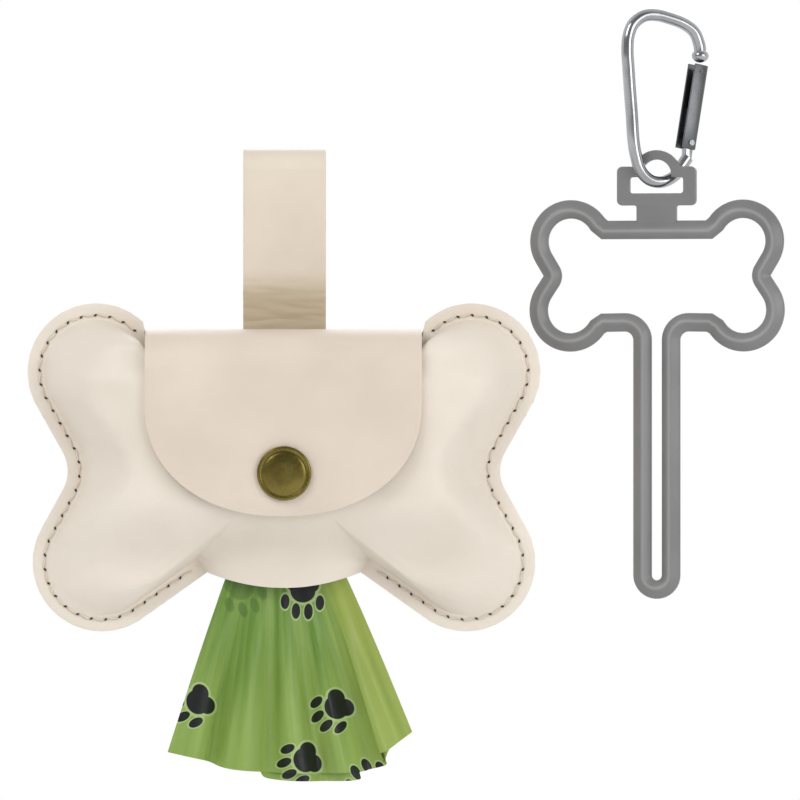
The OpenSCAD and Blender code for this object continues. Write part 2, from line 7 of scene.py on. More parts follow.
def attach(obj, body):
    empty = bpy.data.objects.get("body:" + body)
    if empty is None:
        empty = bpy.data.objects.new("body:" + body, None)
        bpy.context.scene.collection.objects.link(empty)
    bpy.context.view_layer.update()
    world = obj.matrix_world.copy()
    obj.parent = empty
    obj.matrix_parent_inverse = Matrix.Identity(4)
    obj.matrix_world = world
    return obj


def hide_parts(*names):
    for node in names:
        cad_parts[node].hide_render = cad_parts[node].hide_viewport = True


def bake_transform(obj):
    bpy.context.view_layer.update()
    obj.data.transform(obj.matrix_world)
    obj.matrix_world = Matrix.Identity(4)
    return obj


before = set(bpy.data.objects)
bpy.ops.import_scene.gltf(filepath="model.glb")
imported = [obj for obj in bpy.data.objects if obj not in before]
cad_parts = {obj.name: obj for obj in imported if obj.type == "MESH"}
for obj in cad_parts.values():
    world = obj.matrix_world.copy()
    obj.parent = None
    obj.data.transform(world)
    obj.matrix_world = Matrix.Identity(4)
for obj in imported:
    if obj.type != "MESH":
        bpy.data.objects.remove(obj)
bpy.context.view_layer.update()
print("frame loaded")

mm = 0.001
seamAt = -16.4  # the pouch's seam, in millimetres in front of the strap loop's middle
seamY = seamAt * mm
pouchMid = np.array([0.0, -86.0]) * mm


def toEdit():
    bpy.ops.object.mode_set(mode="EDIT")


def toObject():
    bpy.ops.object.mode_set(mode="OBJECT")


def selectAll(action="SELECT"):
    bpy.ops.mesh.select_all(action=action)


def deselectAll():
    if bpy.context.object and bpy.context.object.mode != "OBJECT":
        toObject()
    bpy.ops.object.select_all(action="DESELECT")


def pick(obj):
    deselectAll()
    obj.select_set(True)
    bpy.context.view_layer.objects.active = obj


def applyAll(obj):
    pick(obj)
    for mod in list(obj.modifiers):
        bpy.ops.object.modifier_apply(modifier=mod.name)


def settle(obj, turn=None, place=None):
    # turns and places go into the mesh, so every object ends at the origin
    if turn:
        obj.rotation_euler = turn
    if place:
        obj.location = place
    pick(obj)
    bpy.ops.object.transform_apply(location=True, rotation=True, scale=True)


def editAll(obj):
    # edit mode, with all of the mesh selected
    pick(obj)
    toEdit()
    selectAll()


def outward(obj, merge=True):
    editAll(obj)
    if merge:
        bpy.ops.mesh.remove_doubles(threshold=1e-6)
    bpy.ops.mesh.normals_make_consistent(inside=False)
    toObject()


def smoothShade(obj, angle=40):
    pick(obj)
    bpy.ops.object.shade_smooth_by_angle(angle=math.radians(angle))


def bevelRims(obj, width, angle=50, skip=None):
    # bevels the sharp edges, apart from those that skip() picks out
    pick(obj)
    toEdit()
    bpy.ops.mesh.select_mode(type="EDGE")
    selectAll("DESELECT")
    bpy.ops.mesh.edges_select_sharp(sharpness=math.radians(angle))
    if skip:
        toObject()
        for e in obj.data.edges:
            if e.select and skip(*(obj.data.vertices[i].co for i in e.vertices)):
                e.select = False
        toEdit()
    bpy.ops.mesh.bevel(offset=width, segments=2, profile=0.5, clamp_overlap=True)
    toObject()


def paint(obj, material):
    obj.data.materials.clear()
    obj.data.materials.append(material)


def finish(obj, body, slotName, material, *nodes, angle=40):
    smoothShade(obj, angle)
    paint(obj, material)
    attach(obj, body)
    if nodes:
        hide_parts(*nodes)


def addObject(name, data):
    obj = bpy.data.objects.new(name, data)
    bpy.context.scene.collection.objects.link(obj)
    return obj


def meshPiece(name, points, faces, edges=()):
    mesh = bpy.data.meshes.new(name)
    mesh.from_pydata([tuple(p) for p in points], edges, faces)
    return addObject(name, mesh)


def gridFaces(high, wide, around=False, closed=False):
    # quads between rows of points; around joins each row's ends, and closed joins the last row to the first
    faces = []
    for r in range(high if closed else high - 1):
        a, b = r * wide, (r + 1) % high * wide
        faces += [(a + c, a + (c + 1) % wide, b + (c + 1) % wide, b + c) for c in range(wide if around else wide - 1)]
    return faces


def addThickness(obj, thickness, offset):
    solid = obj.modifiers.new("thickness", "SOLIDIFY")
    solid.thickness = thickness * mm
    solid.offset = offset
    return solid


def addBevel(obj, width, angle):
    bevel = obj.modifiers.new("rim", "BEVEL")
    bevel.width = width * mm
    bevel.segments = 2
    bevel.limit_method = "ANGLE"
    bevel.angle_limit = math.radians(angle)
    return bevel


def getPoints(obj):
    co = np.empty(len(obj.data.vertices) * 3)
    obj.data.vertices.foreach_get("co", co)
    return co.reshape(-1, 3)


def setPoints(obj, co):
    obj.data.vertices.foreach_set("co", co.ravel())
    obj.data.update()


def joinPieces(name, objs):
    deselectAll()
    for o in objs:
        o.select_set(True)
    bpy.context.view_layer.objects.active = objs[0]
    if len(objs) > 1:
        bpy.ops.object.join()
    objs[0].name = name
    return objs[0]


def smoothStep(a, b, x):
    t = np.clip((np.asarray(x, float) - a) / (b - a), 0, 1)
    return t * t * (3 - 2 * t)


def stepOver(span, x):
    # the same over a span in millimetres, for values in metres
    return smoothStep(span[0] * mm, span[1] * mm, x)


def lerp(a, b, t):
    return a + (b - a) * t


def softNoise(points, scale, seed=0.0):
    return np.array([noise.noise(Vector(p) * scale + Vector((seed, seed * 2.1, -seed))) for p in points])


def arc(centre, radius, a0, a1, count):
    a = np.radians(np.linspace(a0, a1, count))
    return [(centre[0] + radius * math.cos(t), centre[1] + radius * math.sin(t)) for t in a]


def runAlong(path):
    # how far along a line each of its points is
    return np.concatenate([[0], np.cumsum(np.linalg.norm(np.diff(path, axis=0), axis=1))])


def feed(tree, socket, value):
    # a socket takes either a link or a plain value
    if hasattr(value, "is_output"):
        tree.links.new(value, socket)
    else:
        socket.default_value = value


def newGroup(name, inputs, outputs):
    # a node group that takes a vector and some numbers, and gives numbers
    group = bpy.data.node_groups.new(name, "ShaderNodeTree")
    group.interface.new_socket(name="Vector", in_out="INPUT", socket_type="NodeSocketVector")
    for key, value in inputs.items():
        group.interface.new_socket(name=key, in_out="INPUT", socket_type="NodeSocketFloat").default_value = value
    for key in outputs:
        group.interface.new_socket(name=key, in_out="OUTPUT", socket_type="NodeSocketFloat")
    return group, group.nodes.new("NodeGroupInput"), group.nodes.new("NodeGroupOutput")


def addNode(tree, kind, inputs):
    # a node, and what each of its named or numbered sockets takes
    n = tree.nodes.new("ShaderNode" + kind)
    for key, value in inputs.items():
        feed(tree, n.inputs[key], value)
    return n


def mathNode(tree, op, *values, kind="Math"):
    n = addNode(tree, kind, dict(enumerate(values)))
    n.operation = op
    return n.outputs[0]


def vectorMath(tree, op, *values):
    return mathNode(tree, op, *values, kind="VectorMath")


def combine(tree, *values):
    return addNode(tree, "CombineXYZ", dict(enumerate(values))).outputs[0]


def separate(tree, vector):
    return addNode(tree, "SeparateXYZ", {0: vector}).outputs


def leastOf(tree, values):
    least = values[0]
    for value in values[1:]:
        least = mathNode(tree, "MINIMUM", least, value)
    return least


def noiseNode(tree, vector, scale, detail=2.0, rough=0.5):
    return addNode(tree, "TexNoise", {"Vector": vector, "Scale": scale, "Detail": detail, "Roughness": rough})


def placeGroup(tree, group, vector, **values):
    n = tree.nodes.new("ShaderNodeGroup")
    n.node_tree = group
    tree.links.new(vector, n.inputs["Vector"])
    for key, value in values.items():
        n.inputs[key].default_value = value
    return n


def makeGrainGroup():
    # pebbled leather grain: small cells with softer pores between them
    group, gi, go = newGroup("hideGrain", dict(Size=1500.0), ["Height", "Mottle"])
    cells = group.nodes.new("ShaderNodeTexVoronoi")
    cells.feature = "SMOOTH_F1"
    cells.inputs["Smoothness"].default_value = 0.6
    warp = noiseNode(group, gi.outputs["Vector"], 900.0, 2.0)
    bend = vectorMath(group, "MULTIPLY_ADD", warp.outputs["Color"], (0.0005, 0.0005, 0.0005), gi.outputs["Vector"])
    group.links.new(bend, cells.inputs["Vector"])
    group.links.new(gi.outputs["Size"], cells.inputs["Scale"])
    fine = noiseNode(group, gi.outputs["Vector"], 4200.0, 2.0)
    height = mathNode(group, "ADD", mathNode(group, "MULTIPLY", cells.outputs["Distance"], 0.7),
        mathNode(group, "MULTIPLY", fine.outputs["Fac"], 0.3))
    group.links.new(height, go.inputs["Height"])
    wide = noiseNode(group, gi.outputs["Vector"], 34.0, 3.0)
    group.links.new(wide.outputs["Fac"], go.inputs["Mottle"])
    return group


def makeBlotchGroup():
    # uneven tone and fine specks, for everything but the leather
    group, gi, go = newGroup("unevenTone", dict(Broad=120.0, Fine=2400.0), ["Tone", "Speck"])
    broad = noiseNode(group, gi.outputs["Vector"], gi.outputs["Broad"], 3.0)
    fine = noiseNode(group, gi.outputs["Vector"], gi.outputs["Fine"], 2.0)
    group.links.new(broad.outputs["Fac"], go.inputs["Tone"])
    group.links.new(fine.outputs["Fac"], go.inputs["Speck"])
    return group


def makeSpotGroup():
    # how far a point of the print is from an ellipse: under 1 is inside
    group, gi, go = newGroup("printSpot", dict(X=0.0, Y=0.0, Wide=1.0, High=1.0), ["Reach"])
    split = separate(group, gi.outputs["Vector"])
    squares = []
    for i, (middle, half) in enumerate((("X", "Wide"), ("Y", "High"))):
        off = mathNode(group, "SUBTRACT", split[i], gi.outputs[middle])
        off = mathNode(group, "DIVIDE", off, gi.outputs[half])
        squares.append(mathNode(group, "MULTIPLY", off, off))
    group.links.new(mathNode(group, "SQRT", mathNode(group, "ADD", *squares)), go.inputs["Reach"])
    return group


def makePawGroup(spotGroup):
    # one generic paw: a broad pad and four toes, in its own units
    group, gi, go = newGroup("pawMark", dict(X=0.0, Y=0.0, Turn=0.0, Size=0.003), ["Reach"])
    place = combine(group, gi.outputs["X"], gi.outputs["Y"])
    spin = addNode(group, "VectorRotate", {"Vector": vectorMath(group, "SUBTRACT", gi.outputs["Vector"], place),
        "Angle": gi.outputs["Turn"]})
    spin.rotation_type = "Z_AXIS"
    unit = vectorMath(group, "DIVIDE", spin.outputs[0], combine(group, *[gi.outputs["Size"]] * 3))
    # x, y, half width, half height of the pad's three lobes and the toes
    spots = [(0.0, 0.2, 1.2, 1.1), (-0.68, -0.42, 0.88, 0.76), (0.68, -0.42, 0.88, 0.76),
        (-1.72, 1.3, 0.42, 0.72), (-0.62, 2.2, 0.42, 0.76), (0.62, 2.2, 0.42, 0.76), (1.72, 1.3, 0.42, 0.72)]
    reaches = [placeGroup(group, spotGroup, unit, X=x, Y=y, Wide=wide, High=high).outputs[0]
        for x, y, wide, high in spots]
    group.links.new(leastOf(group, reaches), go.inputs["Reach"])
    return group


grainGroup = makeGrainGroup()
blotchGroup = makeBlotchGroup()
spotGroup = makeSpotGroup()
pawGroup = makePawGroup(spotGroup)


def linear(rgb):
    # a screen colour, 0 to 255, as the shader's linear one
    parts = [c / 255 for c in rgb]
    return tuple(c / 12.92 if c <= 0.04045 else ((c + 0.055) / 1.055) ** 2.4 for c in parts) + (1.0,)


def startMaterial(name):
    mat = bpy.data.materials.new(name)
    mat.use_nodes = True
    tree = mat.node_tree
    shader = tree.nodes["Principled BSDF"]
    coords = tree.nodes.new("ShaderNodeTexCoord")
    return mat, tree, shader, coords.outputs["Object"]


def twoTone(tree, fac, colourA, colourB, low=0.3, high=0.7):
    ramp = tree.nodes.new("ShaderNodeValToRGB")
    for stop, at, colour in zip(ramp.color_ramp.elements, (low, high), (colourA, colourB)):
        stop.position, stop.color = at, linear(colour)
    tree.links.new(fac, ramp.inputs[0])
    return ramp.outputs[0]


def mapRange(tree, value, start, end, low, high, soft=True):
    n = addNode(tree, "MapRange", {"Value": value, "From Min": start, "From Max": end, "To Min": low, "To Max": high})
    n.interpolation_type = "SMOOTHSTEP" if soft else "LINEAR"
    return n.outputs[0]


def roughFrom(tree, fac, low, high):
    return mapRange(tree, fac, 0.3, 0.7, low, high, soft=False)


def bumpNode(tree, height, strength, distance):
    return addNode(tree, "Bump", {"Strength": strength, "Distance": distance, "Height": height}).outputs[0]


def connect(tree, shader, colour, rough, normal):
    for key, value in (("Base Color", colour), ("Roughness", rough), ("Normal", normal)):
        tree.links.new(value, shader.inputs[key])


def leatherMaterial(name, dark, light, grain=1300.0, rough=(0.4, 0.52), band=None):
    mat, tree, shader, where = startMaterial(name)
    grainNode = placeGroup(tree, grainGroup, where, Size=grain)
    colour = twoTone(tree, grainNode.outputs["Mottle"], dark, light)
    if band:
        # painted shade, darker from one height down to another, where the strap dips back behind the pouch
        fade = softly(tree, separate(tree, where)[2], band["start"], band["full"], band["much"])
        colour = mixOver(tree, fade, colour, band["colour"])
    connect(tree, shader, colour, roughFrom(tree, grainNode.outputs["Mottle"], *rough),
        bumpNode(tree, grainNode.outputs["Height"], 0.35, 0.00012))
    shader.inputs["Specular IOR Level"].default_value = 0.42
    return mat


def plainMaterial(name, dark, light, rough, metal=0.0, broad=120.0, fine=2400.0, bump=0.1, depth=0.00005):
    mat, tree, shader, where = startMaterial(name)
    tone = placeGroup(tree, blotchGroup, where, Broad=broad, Fine=fine)
    connect(tree, shader, twoTone(tree, tone.outputs["Tone"], dark, light),
        roughFrom(tree, tone.outputs["Speck"], *rough), bumpNode(tree, tone.outputs["Speck"], bump, depth))
    shader.inputs["Metallic"].default_value = metal
    return mat


def mixOver(tree, fac, under, over):
    mix = tree.nodes.new("ShaderNodeMix")
    mix.data_type = "RGBA"
    tree.links.new(fac, mix.inputs["Factor"])
    tree.links.new(under, mix.inputs["A"])
    mix.inputs["B"].default_value = linear(over)
    return mix.outputs["Result"]


def ridgedGrey(name, dark, light, ridge, rough, broad, fine):
    # moulded plastic with a painted highlight along its ridges
    mat = plainMaterial(name, dark, light, rough, broad=broad, fine=fine)
    tree = mat.node_tree
    shader = tree.nodes["Principled BSDF"]
    under = shader.inputs["Base Color"].links[0].from_socket
    mark = tree.nodes.new("ShaderNodeAttribute")
    mark.attribute_name = "ridge"
    tree.links.new(mixOver(tree, mark.outputs["Fac"], under, ridge), shader.inputs["Base Color"])
    return mat


# each print: its place across and down the film, in metres, and the way its toes point, in degrees
printSet = dict(size=0.0028, behind=[(-0.0118, -0.1200, 290)], marks=[(0.0053, -0.1207, 268),
    (0.0150, -0.1530, 224), (-0.0233, -0.1517, 207), (0.0064, -0.1678, 205), (0.0245, -0.1760, 120)])


def nearestMark(tree, where, marks):
    size = printSet["size"]
    return leastOf(tree, [placeGroup(tree, pawGroup, where, X=x, Y=z, Turn=math.radians(90 - way), Size=size).outputs[0]
        for x, z, way in marks])


def softly(tree, value, start, end, most):
    return mapRange(tree, value, start, end, 0.0, most)


def filmMaterial():
    mat, tree, shader, where = startMaterial("bagFilm")
    maps = {}
    for key in ("printMap", "foldMap"):
        n = tree.nodes.new("ShaderNodeUVMap")
        n.uv_map = key
        maps[key] = n.outputs[0]
    stretch = addNode(tree, "Mapping", {"Vector": maps["foldMap"], "Scale": (9.0, 0.9, 1.0)})
    streak = noiseNode(tree, stretch.outputs[0], 1.0, 3.0, 0.6)
    colour = twoTone(tree, streak.outputs["Fac"], (80, 122, 30), (142, 170, 90), 0.36, 0.64)
    across, down = separate(tree, maps["foldMap"])[:2]
    behind = nearestMark(tree, maps["printMap"], printSet["behind"])
    near = nearestMark(tree, maps["printMap"], printSet["marks"])
    # over the green, in order: yellower at the right, paler towards the hem, the print that shows through from
    # behind, the near prints' pale rims and the near prints; each grows from none at start to most at end
    for value, start, end, most, over in ((across, 0.7, 0.95, 0.7, (158, 168, 78)),
            (down, 0.5, 0.95, 0.45, (160, 184, 96)), (behind, 1.15, 0.9, 0.55, (74, 104, 46)),
            (near, 1.34, 1.24, 0.7, (176, 198, 138)), (near, 1.06, 1.0, 1.0, (25, 29, 27))):
        colour = mixOver(tree, softly(tree, value, start, end, most), colour, over)
    speck = placeGroup(tree, blotchGroup, where, Broad=70.0, Fine=700.0).outputs["Speck"]
    height = mathNode(tree, "ADD", mathNode(tree, "MULTIPLY", streak.outputs["Fac"], 3.0), speck)
    connect(tree, shader, colour, roughFrom(tree, speck, 0.32, 0.44), bumpNode(tree, height, 0.25, 0.0003))
    shader.inputs["Specular IOR Level"].default_value = 0.35
    return mat


panelLeather = leatherMaterial("panelLeather", (226, 215, 201), (235, 226, 213))
flapLeather = leatherMaterial("flapLeather", (217, 203, 187), (226, 213, 198))
strapLeather = leatherMaterial("strapLeather", (219, 206, 189), (229, 217, 200))
# the strap's front ply is a shaded copy of the strap leather, with a band of painted shade where it dips behind the
# pouch
strapShaded = leatherMaterial("strapShaded", (217, 204, 187), (227, 215, 198),
    band=dict(start=-0.031, full=-0.041, much=0.8, colour=(182, 166, 136)))
cutEdge = plainMaterial("cutEdge", (230, 215, 198), (238, 225, 210), (0.6, 0.75),
    broad=200.0, fine=5000.0, bump=0.4, depth=0.0001)
threadMat = plainMaterial("seamThread", (214, 201, 182), (228, 216, 199), (0.7, 0.85),
    broad=600.0, fine=9000.0, bump=0.6, depth=0.0001)
# needle holes are dark discs: painted shade where the holes are
holeShadeMat = plainMaterial("needleHoleShade", (66, 53, 38), (84, 69, 51), (0.85, 0.95))
brassMat = plainMaterial("antiqueBrass", (104, 92, 44), (136, 122, 66), (0.22, 0.34), 1.0, 160.0, 1600.0)
innerBrass = plainMaterial("innerBrass", (150, 128, 76), (178, 156, 100), (0.3, 0.42), 1.0)
filmMat = filmMaterial()
rollMat = plainMaterial("rolledFilm", (96, 142, 50), (122, 164, 74), (0.3, 0.42),
    broad=90.0, fine=1500.0, bump=0.3, depth=0.0002)
cardMat = plainMaterial("rollCard", (168, 138, 100), (190, 160, 122), (0.85, 0.95),
    broad=90.0, fine=1800.0, bump=0.3, depth=0.0001)
# the third colour is the painted highlight along the ridges
greyMat = ridgedGrey("mouldedGrey", (117, 117, 117), (126, 126, 126), (150, 150, 150), (0.28, 0.38),
    broad=60.0, fine=3000.0)
# painted reflection: the gate's steel is coloured darker than the hook's, for the darker reflection seen on the gate
gateSteel = plainMaterial("brushedSteelPaintedDark", (92, 93, 95), (110, 111, 113), (0.26, 0.36), 1.0, 90.0, 2600.0, 0.1)
steelMat = plainMaterial("polishedSteel", (156, 157, 159), (182, 183, 184), (0.12, 0.2), 1.0, 90.0, 2200.0, 0.05)
pinMat = plainMaterial("pinSteel", (150, 151, 153), (174, 175, 177), (0.3, 0.4), 1.0)
print("materials made")


bone = dict(upper=(52.1, -60.5), upperR=19.0, lower=(50.5, -113.3), lowerR=19.2,
    waist=(70.6, -88.0), waistR=10.6, lowEnd=-157.4, topIn=(0.0135, 0.8), mouthIn=(0.026, 0.83),
    mouthX=21.3, mouthZ=-116.1, mouthBow=4.2, slope=33.7, cornerAngle=133, margin=4.6, stitchInset=3.3,
    thick=1.6, puffWidth=15.0, liftTop=-60, liftLow=-114, liftX=(33, 39.14), liftPower=0.55,
    swellZ=(-117, -95), thinX=(36, 60), thinMuch=0.22, shoulderZ=(-64, -55), shoulderMuch=0.17,
    seamEnd=(1.4, 2.6))


def touchAngle(centre, r, side):
    # the direction from a lobe's centre in which it meets the waist
    vx, vz = bone["waist"][0] - centre[0], bone["waist"][1] - centre[1]
    return math.degrees(math.atan2(vz, vx)) + side * math.degrees(math.acos((r + bone["waistR"]) / math.hypot(vx, vz)))


def lobeEdge(inset, fine):
    b = bone
    up = touchAngle(b["upper"], b["upperR"], 1)
    down = touchAngle(b["lower"], b["lowerR"], -1)
    return (arc(b["upper"], b["upperR"] - inset, b["cornerAngle"], up, 15 * fine)
        + arc(b["waist"], b["waistR"] + inset, up + 180, down + 180, 7 * fine)
        + arc(b["lower"], b["lowerR"] - inset, down, b["slope"] + b["lowEnd"], 14 * fine))


def evenly(points, count):
    # the same line again with evenly spaced points
    p = np.array(points)
    run = runAlong(p)
    at = np.linspace(0, run[-1], count)
    return np.stack([np.interp(at, run, p[:, i]) for i in range(p.shape[1])], 1)


def fullOutline(topEdge, inset, counts=(26, 96, 28, 22)):
    b = bone
    (topX, topZ), (mouthX, mouthZ) = b["topIn"], b["mouthIn"]
    top = [(x * (1 - topX * inset), z - topZ * inset) for x, z in topEdge]
    lobe = lobeEdge(inset, 4)
    mouth = [(x * (1 + mouthX * inset), b["mouthZ"] - b["mouthBow"] * (1 - (x / b["mouthX"]) ** 2) + mouthZ * inset)
        for x in np.linspace(b["mouthX"], 0, 24)]
    right = np.concatenate([evenly(top, counts[0])[:-1], evenly([top[-1], lobe[0]], 5)[:-1],
        evenly(lobe, counts[1])[:-1], evenly([lobe[-1], mouth[0]], counts[2])[:-1], evenly(mouth, counts[3])])
    left = right[::-1].copy()
    left[:, 0] *= -1
    return np.concatenate([right, left[1:-1]]) * mm


def liftAt(p):
    # 1 where the cut edge is open, along the top and the mouth, and 0 where it is sewn
    b = bone
    x, z = abs(p[:, 0]) / mm, p[:, 1] / mm
    top = (z > b["liftTop"]) * (1 - smoothStep(*b["liftX"], x))
    mouth = (z < b["liftLow"]) * np.clip(1 - (x / b["mouthX"]) ** 2, 0, 1) ** b["liftPower"]
    return top + mouth


def swellAt(p, top, bottom):
    # how far the leather stands out: less at the foot, out at the lobes and up at the shoulders
    b = bone
    x, z = abs(p[:, 0]) / mm, p[:, 1] / mm
    thin = 1 - b["thinMuch"] * smoothStep(*b["thinX"], x)
    return lerp(bottom, top, smoothStep(*b["swellZ"], z)) * thin \
        * (1 - b["shoulderMuch"] * smoothStep(*b["shoulderZ"], z)) * mm


def softened(values, spread):
    # a closed row of values, blurred along the row
    if spread < 0.5:
        return values
    reach = int(spread * 3)
    weights = np.exp(-0.5 * (np.arange(-reach, reach + 1) / spread) ** 2)
    padded = np.concatenate([values[-reach:], values, values[:reach]])
    return np.convolve(padded, weights / weights.sum(), mode="valid")


def leatherPanel(name, topEdge, top, bottom, side):
    # rings run from the cut edge over the sewn margin and in to the middle, and the swell grows inside the seam
    edge = fullOutline(topEdge, 0)
    sewn = fullOutline(topEdge, bone["margin"])
    n = len(edge)
    lift = liftAt(edge)
    rows = []
    for t in (0, 0.33, 0.66):
        p = edge + (sewn - edge) * t
        rows.append((p, swellAt(p, top, bottom) * lift))
    steps = np.concatenate([np.linspace(0, 0.3, 12), np.linspace(0.35, 0.94, 12)])
    away = np.linalg.norm(sewn - pouchMid, axis=1)
    for v in steps:
        p = pouchMid + (1 - v) * (sewn - pouchMid)
        puff = np.sin(np.pi / 2 * np.clip(v * away / (bone["puffWidth"] * mm), 0, 1))
        soft = softened(lift, 95 * v)
        rows.append((p, swellAt(p, top, bottom) * softened(soft + (1 - soft) * puff, 30 * v)))
    points, faces = [], gridFaces(len(rows), n, around=True)
    for p, h in rows:
        points += [(x, seamY + side * (d + bone["thick"] * mm), z) for (x, z), d in zip(p, h)]
    mid = len(points)
    points.append((pouchMid[0], seamY + side * (top + bone["thick"]) * mm, pouchMid[1]))
    last = (len(rows) - 1) * n
    faces += [(last + i, last + (i + 1) % n, mid) for i in range(n)]
    return meshPiece(name, points, faces)


def stitchPath(count=400):
    end = (bone["mouthX"] + bone["seamEnd"][0], bone["mouthZ"] + bone["seamEnd"][1])
    return evenly(lobeEdge(bone["stitchInset"], 6) + [end], count) * mm


def nearest(points, path):
    # distance to a line of points and how far along it that is
    best = np.full(len(points), 1e9)
    along = np.zeros(len(points))
    run = runAlong(path)
    for i in range(len(path) - 1):
        a, b = path[i], path[i + 1]
        ab = b - a
        t = np.clip(((points - a) @ ab) / (ab @ ab), 0, 1)
        d = np.linalg.norm(points - (a + t[:, None] * ab), axis=1)
        closer = d < best
        best[closer] = d[closer]
        along[closer] = run[i] + t[closer] * np.linalg.norm(ab)
    return best, along


seamSet = dict(groove=0.38, grooveWide=0.9, pucker=0.16, pitch=4.0, fromStart=(2, 10), fromEnd=(1, 16),
    puckerNear=(0.8, 3.5), puckerFar=(4, 13), unevenFrom=(3, 12))


def dressPanel(obj, side):
    # seam pressed in along the stitches, with small puckers, and soft unevenness in the middle
    p = getPoints(obj)
    flat = np.stack([abs(p[:, 0]), p[:, 2]], 1)
    path = stitchPath(160)
    d, along = nearest(flat, path)
    total = runAlong(path)[-1]
    groove = -seamSet["groove"] * mm * np.exp(-(d / (seamSet["grooveWide"] * mm)) ** 2)
    ends = stepOver(seamSet["fromStart"], along) * stepOver(seamSet["fromEnd"], total - along)
    inside = stepOver(seamSet["puckerNear"], d) * (1 - stepOver(seamSet["puckerFar"], d)) * ends
    pucker = seamSet["pucker"] * mm * np.cos(2 * np.pi * along / (seamSet["pitch"] * mm)) * inside
    uneven = softNoise(p, 38.0, 3.0) * 0.5 * mm + softNoise(p, 95.0, 9.0) * 0.14 * mm
    uneven *= stepOver(seamSet["unevenFrom"], d)
    p[:, 1] += side * (groove + pucker + uneven * 0.7)
    setPoints(obj, p)


def facesTowards(obj, direction):
    # turns an open sheet over if its normals point the other way
    total = Vector((0, 0, 0))
    for f in obj.data.polygons:
        total += f.normal * f.area
    if total.dot(Vector(direction)) < 0:
        editAll(obj)
        bpy.ops.mesh.flip_normals()
        toObject()


panels = dict(frontTop=[(0, -56), (8, -56), (16, -56), (23, -56), (30, -55.8), (35, -54.6), (38.4, -52)],
    backTop=[(0, -52.4), (8, -52.4), (16, -52.4), (23, -52.4), (30, -52.4), (35, -52.4), (38.4, -51.6)],
    frontSwell=18.5, mouthSwell=8.0, backSwell=10.6, backMouth=0.4)


def thickenTowards(obj, side):
    facesTowards(obj, (0, side, 0))
    addThickness(obj, bone["thick"], -1)
    addBevel(obj, 0.35, 50)
    applyAll(obj)


def makePanel(name, node, top, swell, mouth, side):
    panel = leatherPanel(name, top, swell, mouth, side)
    dressPanel(panel, side)
    thickenTowards(panel, side)
    finish(panel, "pouch", "panel_leather", panelLeather, node)


makePanel("frontPanel", "front_panel", panels["frontTop"], panels["frontSwell"], panels["mouthSwell"], -1)
makePanel("backPanel", "back_panel", panels["backTop"], panels["backSwell"], panels["backMouth"], 1)
print("panels made")


capSet = dict(flapR=7.5, flapH=1.5, flapX=0.3, flapY=-23.7, flapZ=-88.5, strapR=6.0, strapH=1.4, post=1.5, stem=1.6,
    crown=[(-1.05, -0.5), (-1.35, -0.58), (-1.75, -0.42), (-2.4, -0.18)])
flapSet = dict(halfWidth=38.2, roundZ=-69.7, bottomZ=-100.4, power=2.15, columns=80, rows=60, fall=-58.5,
    tuck=0.13, tuckZ=(-49.2, -51.5), frontZ=(-50, -62), sideX=28, sidePast=3, corner=48,
    dent=0.35, dentR=7.2, dentWide=2.2,
    mid=[(8.6, -58), (8.9, -55), (9.3, -52.4), (8.6, -50.4), (6.5, -49.3), (2, -48.8), (-8, -48.8),
        (-15.5, -50.2), (-20, -53.6), (-21.9, -58.5), (-22.2, -64), (-23.2, -74), (-23.7, -84), (-23.7, -94.5),
        (-22.7, -100.4)],
    side=[(3.2, -58), (4.0, -55), (5.0, -52.4), (5.4, -50.4), (4.6, -49.4), (1.4, -48.8), (-6.5, -48.9),
        (-13.7, -50.3), (-18.4, -53.7), (-20.8, -58.5), (-21.4, -64), (-22, -74), (-22.6, -84), (-22.6, -94.5),
        (-21.8, -100.4)])


def smoothLine(points, count):
    # a Catmull-Rom curve through the points, then evenly spaced
    p = np.array(points, float)
    p = np.vstack([2 * p[0] - p[1], p, 2 * p[-1] - p[-2]])
    out = []
    for i in range(1, len(p) - 2):
        for t in np.linspace(0, 1, 12, endpoint=False):
            a, b, c, d = p[i - 1], p[i], p[i + 1], p[i + 2]
            bend = (2 * a - 5 * b + 4 * c - d) * t * t
            out.append(0.5 * (2 * b + (c - a) * t + bend + (3 * b - a - 3 * c + d) * t ** 3))
    out.append(p[-2])
    return evenly(out, count)


def flapEdge(a):
    # the rounded lower edge, from the right side (0 degrees) round to the left (180)
    f = flapSet
    c, d = math.cos(math.radians(a)), math.sin(math.radians(a))
    x = f["halfWidth"] * math.copysign(abs(c) ** (2 / f["power"]), c)
    return x, f["roundZ"] + (f["bottomZ"] - f["roundZ"]) * abs(d) ** (2 / f["power"])


def flapPatch(columns, rows):
    # an even patch [x, z] below the fall of the flap, with its corners on the rounded edge
    f = flapSet
    half, top = f["halfWidth"], f["fall"]
    right = evenly([(half, top)] + [flapEdge(a) for a in np.linspace(0, f["corner"], 60)], rows)
    left = right * np.array([-1, 1])
    bottom = evenly([flapEdge(a) for a in np.linspace(180 - f["corner"], f["corner"], 120)], columns + 1)
    grid = []
    for r in range(rows):
        v = r / (rows - 1)
        row = []
        for c in range(columns + 1):
            u = c / columns
            topPoint = np.array([lerp(-half, half, u), top])
            corners = (1 - u) * ((1 - v) * np.array([-half, top]) + v * bottom[0]) \
                + u * ((1 - v) * np.array([half, top]) + v * bottom[-1])
            row.append((1 - u) * left[r] + u * right[r] + (1 - v) * topPoint + v * bottom[c] - corners)
        grid.append(row)
    return grid


